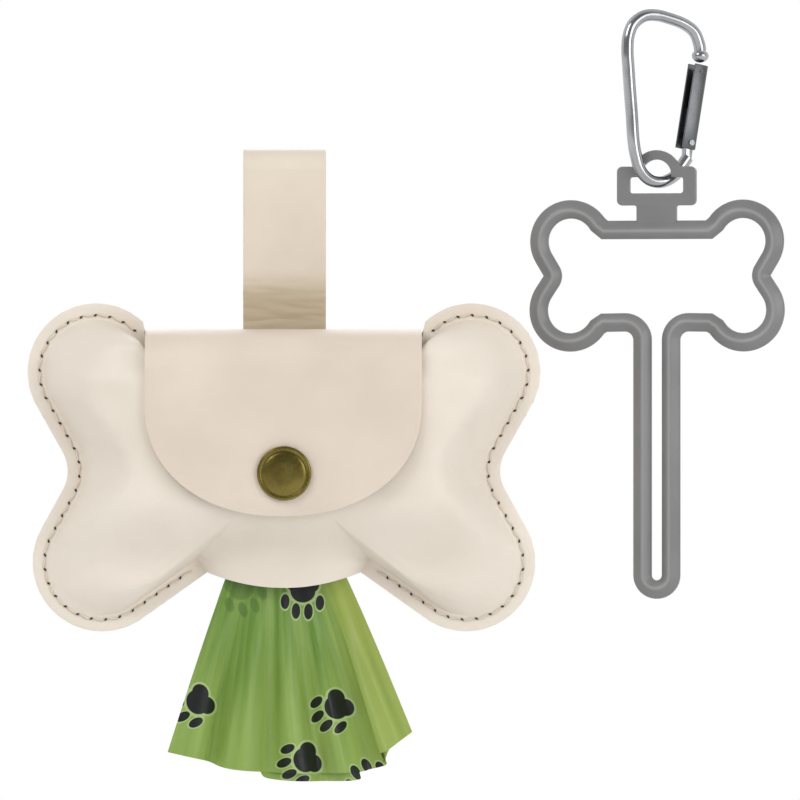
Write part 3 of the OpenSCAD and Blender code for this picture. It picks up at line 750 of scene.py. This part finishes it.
def makeFlap():
    f = flapSet

    def sideways(x):
        # 0 in the middle of the flap and 1 past its sides
        return smoothStep(f["sideX"], f["halfWidth"] + f["sidePast"], abs(x))

    middle = smoothLine(f["mid"], 400)
    edge = smoothLine(f["side"], 400)
    turn = int(np.argmin(np.abs(middle[:, 1] - f["fall"]) + (middle[:, 0] > -15) * 99))
    turnEdge = int(np.argmin(np.abs(edge[:, 1] - f["fall"]) + (edge[:, 0] > -15) * 99))
    overMiddle = evenly(middle[:turn + 1], f["rows"] // 2)
    overEdge = evenly(edge[:turnEdge + 1], f["rows"] // 2)
    points = []
    for r in range(f["rows"] // 2 - 1):
        for x in np.linspace(-f["halfWidth"], f["halfWidth"], f["columns"] + 1):
            y, z = lerp(overMiddle[r], overEdge[r], sideways(x))
            tucked = 1 - f["tuck"] * smoothStep(*f["tuckZ"], z) * (y > 2)
            points.append((x * tucked * mm, seamY + y * mm, z * mm))
    for row in flapPatch(f["columns"], f["rows"]):
        for x, z in row:
            yMiddle = np.interp(-z, -middle[turn:, 1], middle[turn:, 0])
            yEdge = np.interp(-z, -edge[turnEdge:, 1], edge[turnEdge:, 0])
            points.append((x * mm, seamY + lerp(yMiddle, yEdge, sideways(x)) * mm, z * mm))
    wide = f["columns"] + 1
    obj = meshPiece("flapSheet", points, gridFaces(len(points) // wide, wide))
    p = getPoints(obj)
    front = stepOver(f["frontZ"], p[:, 2]) * (p[:, 1] < seamY)
    p[:, 1] -= (softNoise(p, 30.0, 5.0) * 0.45 * mm + softNoise(p, 90.0, 1.0) * 0.1 * mm) * front
    # the leather is pressed in round the snap
    r = np.hypot(p[:, 0] - capSet["flapX"] * mm, p[:, 2] - capSet["flapZ"] * mm)
    p[:, 1] += f["dent"] * mm * np.exp(-((r - f["dentR"] * mm) / (f["dentWide"] * mm)) ** 2) * front
    setPoints(obj, p)
    facesTowards(obj, (0, -1, 0))
    for material in (flapLeather, cutEdge):
        obj.data.materials.append(material)
    addThickness(obj, bone["thick"], -1).material_offset_rim = 1
    addBevel(obj, 0.4, 50).material = 1
    applyAll(obj)
    smoothShade(obj)
    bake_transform(obj)
    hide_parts("flap")


makeFlap()
print("flap made")


strapSet = dict(width=23.0, foldR=4.8, midY=16.4, plyY=13.0, tailY=16.3, snapZ=-84.3, columns=18)


def ribbon(name, line, ends=None, wrinkle=None):
    # a flat strap of leather along a side view [y, z]
    s = strapSet
    xs = np.linspace(-s["width"] / 2, s["width"] / 2, s["columns"] + 1)
    points = []
    for y, z in line:
        for x in xs:
            zz = z
            if ends and z < ends + 3:
                # the free end has rounded corners
                t = min(1.0, (ends + 3 - z) / 3)
                zz = z + t * 2.6 * (abs(x) / (s["width"] / 2)) ** 3
            points.append((x * mm, seamY + y * mm, zz * mm))
    obj = meshPiece(name, points, gridFaces(len(line), len(xs)))
    if wrinkle:
        p = getPoints(obj)
        top, low = wrinkle
        band = stepOver((top, top - 4), p[:, 2]) * (1 - stepOver((low + 3, low), p[:, 2]))
        along = p * np.array([0.45, 1.0, 2.2])
        waves = np.sin(p[:, 2] / mm * 1.9 + 4 * softNoise(p, 70.0, 2.0)) * 0.07 \
            + softNoise(along, 300.0, 7.0) * 0.28 + softNoise(along, 620.0, 4.0) * 0.1
        p[:, 1] += waves * mm * band
        setPoints(obj, p)
    addThickness(obj, bone["thick"], 0)
    applyAll(obj)
    outward(obj)

    def atFold(a, b):
        # the edges where the fold meets the straight runs stay sharp, so that no groove shows there
        return a.z > -4.02 * mm and abs(a.z - b.z) < 0.01 * mm and abs(a.z + 4 * mm) < 0.02 * mm

    bevelRims(obj, 0.3 * mm, skip=atFold)
    return obj


def strapRun(y, line, count):
    # a run that leaves the fold straight down at y, then follows the line
    return evenly([(y, -4), (y, -4.1)] + list(smoothLine([(y, -4.2)] + line, 300)), count)


def makeStrap():
    s = strapSet
    left, right = s["midY"] - s["foldR"], s["midY"] + s["foldR"]
    ply, back = s["plyY"], s["tailY"]
    line = strapRun(left, [(left, -14), (left, -30), (left + 0.35, -38), (ply - 0.15, -45), (ply, -49),
        (ply, -70), (ply, -95)], 220)
    front = ribbon("strapFront", line, ends=-95, wrinkle=(-33, -50))
    finish(front, "pouch", "strap_leather", strapShaded, "strap_front")
    bow = arc((s["midY"], -4), s["foldR"], 180, 0, 33)[1:-1]
    fold = ribbon("strapFold", [(left, -4), (left, -3.98)] + bow + [(right, -3.98), (right, -4)])
    smoothShade(fold)
    fold.data.materials.append(strapLeather)
    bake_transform(fold)
    line = strapRun(right, [(right, -22), (right - 0.8, -36), (back + 0.9, -62), (back, -70), (back, -93)], 160)
    tail = ribbon("strapTail", line, ends=-93)
    finish(tail, "strap_tail", "strap_leather", strapLeather, "strap_tail")


makeStrap()
print("strap made")


threadSet = dict(pitch=4.0, gap=0.7, radius=0.27, slant=0.2, dip=0.32, dipFrom=0.7, taper=0.4, hole=0.42, holeDeep=0.3,
    holeShape=(1.15, 0.72), holeSlant=-0.6, boxX=8.5, boxTop=-55, boxLow=-73)


def cylinder(vertices, radius, depth, turn, **more):
    deselectAll()
    bpy.ops.mesh.primitive_cylinder_add(vertices=vertices, radius=radius, depth=depth, rotation=turn, **more)
    obj = bpy.context.object
    settle(obj)
    return obj


def oneStitch():
    # a short plump bar of thread that dips into the leather at both ends
    t = threadSet
    half = (t["pitch"] - t["gap"]) / 2 * mm
    obj = cylinder(8, t["radius"] * mm, 2 * half, (0, math.pi / 2, 0))
    toEdit()
    for x in (-0.6, 0.6):
        selectAll()
        bpy.ops.mesh.bisect(plane_co=(x * mm, 0, 0), plane_no=(1, 0, 0))
    toObject()
    p = getPoints(obj)
    ends = smoothStep(t["dipFrom"] * mm, half, abs(p[:, 0]))
    p[:, 1:] *= (1 - t["taper"] * ends)[:, None]
    p[:, 1] += t["dip"] * mm * ends
    setPoints(obj, p)
    return obj


def oneHole():
    # painted shade in the mouth of a needle hole: a dark slanted oval
    t = threadSet
    obj = cylinder(12, t["hole"] * mm, t["holeDeep"] * mm, (math.pi / 2, 0, 0))
    p = getPoints(obj)
    p[:, 0] *= t["holeShape"][0]
    p[:, 2] *= t["holeShape"][1]
    setPoints(obj, p)
    return obj


def copyAlong(name, model, places, back=False):
    # the model is copied to each place [(x, z), angle, y], one mesh in all
    co = getPoints(model).copy()
    if back:
        co[:, 1] *= -1
    polys = [tuple(f.vertices) for f in model.data.polygons]
    points, faces = [], []
    for (x, z), angle, y in places:
        c, d = math.cos(angle), math.sin(angle)
        base = len(points)
        points += [(x + p[0] * c - p[2] * d, y + p[1], z + p[0] * d + p[2] * c) for p in co]
        faces += [tuple(base + i for i in f) for f in polys]
    obj = meshPiece(name, points, faces)
    outward(obj)
    return obj


def alongLine(path, side):
    # where the stitches and the holes go on a line, and which way they lie
    t = threadSet
    run = runAlong(path)

    def spot(s):
        s = min(max(s, 0), run[-1] - 0.1 * mm)
        here = [np.interp(s, run, path[:, i]) for i in (0, 1)]
        ahead = [np.interp(s + 0.1 * mm, run, path[:, i]) for i in (0, 1)]
        angle = math.atan2(ahead[1] - here[1], ahead[0] - here[0])
        return (here[0] * side, here[1]), angle

    def row(start, slant):
        places = []
        for i in range(int(run[-1] / (t["pitch"] * mm))):
            place, angle = spot((i + start) * t["pitch"] * mm)
            angle += slant
            places.append((place, angle if side > 0 else math.pi - angle))
        return places

    return row(0.5, t["slant"]), row(0, t["holeSlant"])


def makeSeam(name, node, path, side, level, body, back=False):
    stitches, holes = alongLine(path, side)
    out = 1 if back else -1
    stitchModel, holeModel = oneStitch(), oneHole()
    thread = copyAlong(name, stitchModel, [(p, a, level + out * 0.1 * mm) for p, a in stitches], back)
    finish(thread, body, "seam_thread", threadMat, node)
    dots = copyAlong(name + "Holes", holeModel, [(p, a, level - out * 0.05 * mm) for p, a in holes], back)
    finish(dots, body, "seam_thread", holeShadeMat)
    for o in (stitchModel, holeModel):
        bpy.data.objects.remove(o)


sewnLevel = seamY - bone["thick"] * mm
makeSeam("seamRight", "seam_thread_right", stitchPath(900), 1, sewnLevel, "pouch")
makeSeam("seamLeft", "seam_thread_left", stitchPath(900), -1, sewnLevel, "pouch")
boxX, boxTop, boxLow = (threadSet[key] for key in ("boxX", "boxTop", "boxLow"))
boxStitch = evenly([(-boxX, boxTop), (boxX, boxTop), (boxX, boxLow), (-boxX, boxLow), (-boxX, boxTop)], 300) * mm
makeSeam("boxStitch", "strap_thread", boxStitch, 1, seamY + (strapSet["plyY"] + 0.8) * mm, "pouch", back=True)
print("seam made")


def turned(name, profile, steps, place, axis):
    # a profile of [radius, height] spun round and set along +y or -y
    obj = meshPiece(name, [(r * mm, 0, h * mm) for r, h in profile], [], [(i, i + 1) for i in range(len(profile) - 1)])
    editAll(obj)
    bpy.ops.mesh.spin(steps=steps, angle=2 * math.pi, center=(0, 0, 0), axis=(0, 0, 1))
    toObject()
    outward(obj)
    settle(obj, (-axis * math.pi / 2, 0, 0), [c * mm for c in place])
    return obj


def capProfile(r, h):
    # the post, a rolled rim, then the crown inside it
    c = capSet
    rim = [(r - 0.55 + 0.55 * math.cos(a), 0.6 + 0.55 * math.sin(a)) for a in np.radians(np.linspace(-80, 110, 10))]
    return [(0, -c["stem"]), (c["post"], -c["stem"]), (c["post"], 0), (r - 0.5, 0)] + rim \
        + [(r + inward, h + down) for inward, down in c["crown"]] + [(r * 0.4, h - 0.04), (0, h)]


def makeSnaps():
    c = capSet
    cap = turned("snapCap", capProfile(c["flapR"], c["flapH"]), 72, (c["flapX"], seamAt + c["flapY"], c["flapZ"]), -1)
    finish(cap, "flap", "antique_brass", brassMat, "flap_snap_cap", angle=50)
    back = turned("strapSnapCap", capProfile(c["strapR"], c["strapH"]), 72,
        (0, seamAt + strapSet["tailY"] + 0.8, strapSet["snapZ"]), 1)
    finish(back, "strap_tail", "antique_brass", brassMat, "strap_snap_cap", angle=50)


makeSnaps()
# the parts that are drawn as they were modelled in the solids
for material, nodes in ((cardMat, ["roll_core"]), (pinMat, ["gate_spring", "gate_pivot_pin", "gate_catch_pin"]),
        (innerBrass, ["flap_snap_socket", "front_snap_stud", "front_snap_post", "strap_snap_socket",
            "strap_snap_stud", "strap_snap_post"])):
    for node in nodes:
        paint(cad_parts[node], material)
print("snaps made")


filmSet = dict(topZ=-82.0, y=-4.2, mouthX=14.5, start=0.38, columns=260, rows=100, thick=0.1,
    frontHem=[(-32.2, -165.9), (-22, -168.2), (-16.1, -170.3), (-5.6, -171.4), (6, -171.8), (20.3, -171.4),
        (24, -170.6), (27.6, -168.6), (26.6, -166.4), (29, -165.2), (35.6, -160.3)],
    backHem=[(-31.4, -164.6), (-20, -167.6), (-8, -170.2), (-4.6, -173.2), (6, -174), (20.4, -173.6),
        (20.9, -171.6), (28, -169.6), (28.2, -167.6), (30, -164), (34.8, -159.8)],
    folds=[(0.07, 0.05, -2.2, 0.35), (0.16, 0.035, 2.6, 0.3), (0.27, 0.07, -3.4, 0.2), (0.39, 0.045, 2.8, 0.15),
        (0.48, 0.05, -2.2, 0.3), (0.57, 0.035, 2.6, 0.2), (0.66, 0.045, -2.6, 0.25), (0.76, 0.05, 3.0, 0.3),
        (0.86, 0.04, -2.4, 0.35), (0.94, 0.03, 1.4, 0.45)])


def filmLayer(hem, depth, offset, seed):
    # the film is narrow in the mouth and fans out below it into soft folds
    f = filmSet
    hemLine = smoothLine(hem, f["columns"] + 1)
    points, maps, folds = [], [], []
    for r in range(f["rows"] + 1):
        t = r / f["rows"]
        s = 0 if t < f["start"] else ((t - f["start"]) / (1 - f["start"])) ** 0.93
        for c in range(f["columns"] + 1):
            u = c / f["columns"]
            hx, hz = hemLine[c]
            x = lerp(lerp(-f["mouthX"], f["mouthX"], u), hx, s)
            z = lerp(f["topZ"], hz, t)
            y = 0
            for centre, wide, high, begin in f["folds"]:
                grow = smoothStep(begin, 1.0, t)
                away = u - centre - 0.01 * math.sin(5 * t + seed)
                y += high * (0.12 + 0.88 * grow) * math.exp(-(away / wide) ** 2)
            y = y * (0.2 + 0.8 * smoothStep(f["start"] - 0.05, 0.75, t)) * depth
            y += 0.5 * noise.noise(Vector((u * 16, t * 2.5, seed))) * smoothStep(0.3, 0.6, t)
            points.append((x * mm, seamY + (f["y"] + offset + y) * mm, z * mm))
            maps.append((x * mm, z * mm))
            folds.append((u, t))
    return points, maps, folds


def makeFilm():
    f = filmSet
    for name, nodes, hem, depth, offset, seed in (("bagFilm", ["bag_film"], f["frontHem"], 1.0, -0.35, 2.0),
            ("bagFilmBack", [], f["backHem"], 0.8, 0.75, 2.6)):
        points, maps, folds = filmLayer(hem, depth, offset, seed)
        obj = meshPiece(name, points, gridFaces(f["rows"] + 1, f["columns"] + 1))
        for mapName, values in (("printMap", maps), ("foldMap", folds)):
            layer = obj.data.uv_layers.new(name=mapName)
            for loop in obj.data.loops:
                layer.data[loop.index].uv = values[loop.vertex_index]
        facesTowards(obj, (0, -1, 0))
        addThickness(obj, f["thick"], 0)
        applyAll(obj)
        finish(obj, "film", "film", filmMat, *nodes, angle=80)


makeFilm()
print("bag made")


rollSet = dict(outer=13.35, inner=6.6, half=27.9, y=-20.4, z=-65.5, turns=11, relief=0.28, rings=44, cuts=8,
    lastEdge=0.12, lastAt=0.3)


def makeRoll():
    # a wound roll of film: its ends show the spiral of the turns, and its side the last turn's edge
    r = rollSet
    half = r["half"] * mm
    obj = cylinder(128, r["outer"] * mm, 2 * r["half"] * mm, (0, math.pi / 2, 0), end_fill_type="NOTHING")
    obj.name = "bagRoll"
    toEdit()
    for i in range(1, r["cuts"]):
        selectAll()
        bpy.ops.mesh.bisect(plane_co=((2 * i / r["cuts"] - 1) * r["half"] * mm, 0, 0), plane_no=(1, 0, 0))
    for side in (-1, 1):
        # each rim is extruded inwards ring by ring, and then a bridge joins both inner rims along the core
        selectAll("DESELECT")
        toObject()
        for v in obj.data.vertices:
            v.select = abs(v.co.x - side * half) < 1e-6
        toEdit()
        bpy.ops.mesh.select_mode(type="VERT")
        for step in range(r["rings"]):
            before, radius = (r["outer"] + (r["inner"] - r["outer"]) * k / r["rings"] for k in (step, step + 1))
            bpy.ops.mesh.extrude_edges_move()
            bpy.ops.transform.resize(value=(1, radius / before, radius / before), center_override=(side * half, 0, 0))
    editAll(obj)
    bpy.ops.mesh.select_non_manifold()
    bpy.ops.mesh.bridge_edge_loops()
    toObject()
    p = getPoints(obj)
    radius = np.hypot(p[:, 1], p[:, 2]) / mm
    angle = np.arctan2(p[:, 2], p[:, 1])
    spiral = (radius - r["inner"]) / (r["outer"] - r["inner"]) * r["turns"] + angle / (2 * math.pi)
    onEnd = (abs(abs(p[:, 0]) - half) < 1e-6) & (radius < r["outer"] - 0.01) & (radius > r["inner"] + 0.01)
    p[:, 0] -= np.sign(p[:, 0]) * onEnd * r["relief"] * mm * (0.5 + 0.5 * np.cos(2 * math.pi * spiral))
    lastTurn = (radius > r["outer"] - 0.01) * r["lastEdge"] * mm \
        * (((angle / (2 * math.pi) + r["lastAt"]) % 1.0) - 0.5)
    p[:, 1] += lastTurn * np.cos(angle)
    p[:, 2] += lastTurn * np.sin(angle)
    p += np.array([0, r["y"], r["z"]]) * mm
    setPoints(obj, p)
    outward(obj)
    finish(obj, "roll", "film", rollMat, "bag_roll", angle=30)


makeRoll()
print("roll made")


def sweepFlat(name, path, section, closed):
    # a section [across, y] carried along a flat path [x, z], with mitred corners
    n, k = len(path), len(section)
    points, faces = [], gridFaces(n, k, around=True, closed=closed)
    for i in range(n):
        here = np.array(path[i])
        before = np.array(path[i - 1]) if closed or i > 0 else 2 * here - np.array(path[i + 1])
        after = np.array(path[(i + 1) % n]) if closed or i < n - 1 else 2 * here - before
        d1, d2 = (here - before) / np.linalg.norm(here - before), (after - here) / np.linalg.norm(after - here)
        n1, n2 = np.array([-d1[1], d1[0]]), np.array([-d2[1], d2[0]])
        out = (n1 + n2) / (1 + n1 @ n2)
        points += [((here[0] + out[0] * a) * mm, y * mm, (here[1] + out[1] * a) * mm) for a, y in section]
    if not closed:
        faces += [tuple(range(k)), tuple((n - 1) * k + j for j in reversed(range(k)))]
    obj = meshPiece(name, points, faces)
    outward(obj, merge=False)
    return obj


def roundedLoop(points, cut, times=2):
    # corners of a closed outline cut back by a fixed length, twice over
    for _ in range(times):
        out = []
        for i, p in enumerate(points):
            p = np.array(p)
            for q in (points[i - 1], points[(i + 1) % len(points)]):
                q = np.array(q)
                length = np.linalg.norm(q - p)
                out.append(tuple(p + (q - p) * min(cut / length, 0.3)))
        points, cut = out, cut * 0.35
    return points


carrierSet = dict(turn=-12, x=103.9, lobeR=9, upper=(24.4, -24), lower=(24.6, -43.2), notch=(32.3, -33.6),
    notchR=2.7, topZ=-20.8, lowZ=-46.6, stemR=4.05, kneeR=5, stemZ=-117.15,
    bar=[(2.6, -0.7), (2.6, 0.7), (0.1, 2.2), (-0.7, 2.2), (-2.6, 0.7), (-2.6, -0.7), (-0.7, -2.2), (0.1, -2.2)],
    plate=2.4, soften=0.35)


def ringPath():
    c = carrierSet
    half = [(0, c["topZ"]), (c["upper"][0] - 9.6, c["topZ"])] \
        + arc(c["upper"], c["lobeR"], 148, -31, 40) + arc(c["notch"], c["notchR"], 149, 213, 12) \
        + arc(c["lower"], c["lobeR"], 33, -148, 40) + [(c["lower"][0] - 9.6, c["lowZ"] - 0.1)] \
        + arc((c["stemR"] + c["kneeR"], c["lowZ"] - c["kneeR"]), c["kneeR"], 90, 180, 16) + [(c["stemR"], c["stemZ"])]
    foot = arc((0, c["stemZ"]), c["stemR"], -10, -170, 18)
    return half + foot + [(-x, z) for x, z in half[:0:-1]]


def mirroredLoop(half):
    return half + [(-x, z) for x, z in half[::-1] if abs(x) > 1e-6]


def flatPlate(name, outlines, thickness, soften):
    # outlines [x, z] filled and given thickness with rounded edges, as a filled curve
    curve = bpy.data.curves.new(name, "CURVE")
    curve.dimensions = "2D"
    curve.fill_mode = "BOTH"
    curve.extrude = (thickness / 2 - soften) * mm
    curve.bevel_depth = soften * mm
    curve.bevel_resolution = 3
    curve.offset = -soften * mm
    for outline in outlines:
        spline = curve.splines.new("POLY")
        spline.points.add(len(outline) - 1)
        for point, (x, z) in zip(spline.points, outline):
            point.co = (x * mm, z * mm, 0, 1)
        spline.use_cyclic_u = True
    pick(addObject(name, curve))
    bpy.ops.object.convert(target="MESH")
    obj = bpy.context.object
    settle(obj, (math.pi / 2, 0, 0))
    outward(obj)
    return obj


def markRidgeHighlight(obj, section, ridgeAt, width):
    # how near each point of the sweep is to the ridge of its section, for the painted highlight along the ridges
    near = [max(0.0, 1 - abs(a - ridgeAt) / width) * (abs(y) > 1.6) for a, y in section]
    layer = obj.data.attributes.new("ridge", "FLOAT", "POINT")
    for i, value in enumerate(layer.data):
        value.value = near[i % len(section)]


def makeCarrier():
    c = carrierSet
    section = roundedLoop(c["bar"], 0.24)
    ring = sweepFlat("carrierRing", ringPath(), section, True)
    markRidgeHighlight(ring, section, -0.35, 0.75)
    outer = mirroredLoop(arc((0, -5.4), 6.85, 90, 24, 24) + [(6.6, -3.3), (7.0, -3.12)]
        + arc((9.7, -4.6), 1.5, 90, 0, 8) + arc((9.7, -12.5), 1.5, 0, -90, 8)
        + [(6.2, -14), (5.75, -14.2), (5.65, -14.7), (5.65, -19.8), (0, -19.8)])
    inner = mirroredLoop(arc((0, -5.4), 4.2, 90, -8, 20) + [(4.3, -6.1)] + arc((6.8, -6.9), 0.8, 90, 0, 6)
        + arc((6.8, -9.8), 0.8, 0, -90, 6) + [(0, -10.6)])
    plate = flatPlate("carrierLoop", [outer, inner], c["plate"], c["soften"])
    both = joinPieces("carrierFrame", [ring, plate])
    settle(both, (0, 0, math.radians(c["turn"])), (c["x"] * mm, 0, 0))
    finish(both, "carrier", "carrier_grey", greyMat, "carrier_frame", angle=32)


makeCarrier()
print("carrier made")


hookSet = dict(turn=28, x=103.9, wireR=1.75, nose=(12.3, 28), noseR=2.4, noseFlat=0.82, gateWide=4.6, gateDeep=4.4,
    corner=1.3, wall=0.6, gateTop=(11.9, 25.4), gateLow=(8.2, 1.9), pin=(8.7, 3.6), heelR=1.35, heelThick=2.4,
    wire=[(8.6, -0.6), (7.2, -2.6), (5.3, -5.3), (2.6, -7), (0.2, -7.4), (-2.4, -6.6), (-4.6, -4.2), (-5.8, -0.6),
        (-6.6, 4), (-7.1, 11.5), (-7.6, 18), (-8, 24), (-8.3, 29), (-8, 33.2), (-6.6, 36.6), (-3.8, 38.8),
        (-0.4, 39.2), (3.4, 38.4), (7.6, 36.9), (10.6, 34.6), (12, 31.2), (12.3, 28.6)])
pinch = math.cos(math.radians(hookSet["turn"]))  # the hook is seen turned, so across it is drawn wider


def makeCarabiner():
    h = hookSet
    hang = (0, 0, math.radians(h["turn"]))
    path = smoothLine([(x / pinch, z) for x, z in h["wire"]], 150)
    circle = [(h["wireR"] * math.cos(a), h["wireR"] * math.sin(a))
        for a in np.linspace(0, 2 * math.pi, 24, endpoint=False)]
    wire = sweepFlat("hookWire", path, circle, False)
    deselectAll()
    bpy.ops.mesh.primitive_uv_sphere_add(segments=36, ring_count=20, radius=h["noseR"] * mm,
        location=(h["nose"][0] / pinch * mm, 0, h["nose"][1] * mm))
    nose = bpy.context.object
    toEdit()
    selectAll()
    bpy.ops.transform.resize(value=(1, 1, h["noseFlat"]), center_override=tuple(nose.location))
    toObject()
    settle(nose)
    pinX, pinZ = h["pin"][0] / pinch, h["pin"][1]
    heel = arc((pinX, pinZ), h["heelR"], 170, -10, 16) + [(pinX + 0.7, pinZ - 4.6), (pinX - 1.3, pinZ - 4.4)]
    heel = flatPlate("hookHeel", [heel], h["heelThick"], 0.3)
    body = joinPieces("hookBody", [wire, nose, heel])
    settle(body, hang, (h["x"] * mm, 0, 0))
    finish(body, "carabiner", "carabiner_steel", steelMat, "carabiner_body", angle=50)

    low, top = (np.array([x / pinch, z]) for x, z in (h["gateLow"], h["gateTop"]))
    length = np.linalg.norm(top - low)
    lean = math.atan2(top[0] - low[0], top[1] - low[1])
    w, d, t, c = h["gateWide"] / 2, h["gateDeep"] / 2, h["wall"], h["corner"]
    # a folded channel, open to the inside of the hook, with rounded back corners
    channel = [(-w, -d)] + arc((w - c, -d + c), c, -90, 0, 7) + arc((w - c, d - c), c, 0, 90, 7) \
        + [(-w, d), (-w, d - t)] + arc((w - c, d - c), c - t, 90, 0, 5) + arc((w - c, -d + c), c - t, 0, -90, 5) \
        + [(-w, -d + t)]
    gate = meshPiece("hookGate", [(x * mm, y * mm, 0) for x, y in channel], [tuple(range(len(channel)))])
    editAll(gate)
    bpy.ops.mesh.extrude_region_move(TRANSFORM_OT_translate={"value": (0, 0, length * mm)})
    toObject()
    outward(gate)
    settle(gate, (0, lean, 0), (low[0] * mm, 0, low[1] * mm))
    addBevel(gate, 0.14, 60)
    applyAll(gate)
    settle(gate, hang, (h["x"] * mm, 0, 0))
    finish(gate, "gate", "carabiner_steel", gateSteel, "carabiner_gate", angle=35)


makeCarabiner()
print("carabiner made")


stageSet = dict(centre=(32.2, -12, -68.3), width=222.4, distance=3.0, floorZ=-200, worldLevel=0.66, roomLevel=0.3,
    roomFrom=-0.55, roomTo=0.1, sensor=36, aim=(0.03, 0, -0.07),
    lights=[("keyLight", (-0.6, -0.8, 0.7), 0.6, 4.0), ("fillLight", (0.8, -0.75, 0.15), 0.6, 3.0),
        ("backLight", (0.2, 1.1, 0.5), 0.8, 3.0)])


def rayKinds(tree):
    n = tree.nodes.new("ShaderNodeLightPath")
    return [n.outputs[key] for key in ("Is Camera Ray", "Is Glossy Ray", "Is Transmission Ray")]


def makeStage():
    s = stageSet
    deselectAll()
    bpy.ops.mesh.primitive_plane_add(size=6, location=(0, 0, s["floorZ"] * mm))
    floor = bpy.context.object
    floor.name = "paleFloor"
    settle(floor)
    mat, tree, shader, _ = startMaterial("paleFloor")
    shader.inputs["Base Color"].default_value = (0.9, 0.9, 0.9, 1)
    shader.inputs["Roughness"].default_value = 0.9
    # the floor is lit like any surface, but what the camera and reflections see of it is plain white
    camera, shiny, through = rayKinds(tree)
    seen = mathNode(tree, "MAXIMUM", mathNode(tree, "MAXIMUM", camera, shiny), through)
    white = tree.nodes.new("ShaderNodeEmission")
    mix = addNode(tree, "MixShader", {0: seen, 1: shader.outputs[0], 2: white.outputs[0]})
    tree.links.new(mix.outputs[0], tree.nodes["Material Output"].inputs[0])
    floor.data.materials.append(mat)

    world = bpy.data.worlds.new("studio")
    bpy.context.scene.world = world
    world.use_nodes = True
    tree = world.node_tree
    # the camera sees white, and so do shiny surfaces that look to the back; the room behind the camera is dimmer
    background = tree.nodes["Background"]
    camera, shiny, through = rayKinds(tree)
    coords = tree.nodes.new("ShaderNodeTexCoord")
    way = separate(tree, coords.outputs["Generated"])
    room = mapRange(tree, way[1], s["roomFrom"], s["roomTo"], s["roomLevel"], 1.0)
    glossy = mathNode(tree, "MULTIPLY", shiny, room)
    clear = mathNode(tree, "MAXIMUM", camera, through)
    sharp = mathNode(tree, "MAXIMUM", clear, shiny)
    soft = mathNode(tree, "MULTIPLY", mathNode(tree, "SUBTRACT", 1.0, sharp), s["worldLevel"])
    level = mathNode(tree, "ADD", mathNode(tree, "ADD", clear, glossy), soft)
    tree.links.new(level, background.inputs["Strength"])
    background.inputs["Color"].default_value = (1, 1, 1, 1)

    for name, place, size, power in s["lights"]:
        light = bpy.data.lights.new(name, "AREA")
        light.size = size
        light.energy = power
        lamp = addObject(name, light)
        lamp.location = place
        aim = Vector(s["aim"]) - Vector(place)
        lamp.rotation_euler = aim.to_track_quat("-Z", "Y").to_euler()

    camData = bpy.data.cameras.new("photoCamera")
    cam = addObject("photoCamera", camData)
    cam.location = (s["centre"][0] * mm, -s["distance"], s["centre"][2] * mm)
    cam.rotation_euler = (math.pi / 2, 0, 0)
    camData.sensor_width = s["sensor"]
    camData.lens = s["sensor"] * (s["distance"] + s["centre"][1] * mm) / (s["width"] * mm)
    bpy.context.scene.camera = cam
    bpy.context.scene.view_settings.view_transform = "Standard"


makeStage()
print("stage made")
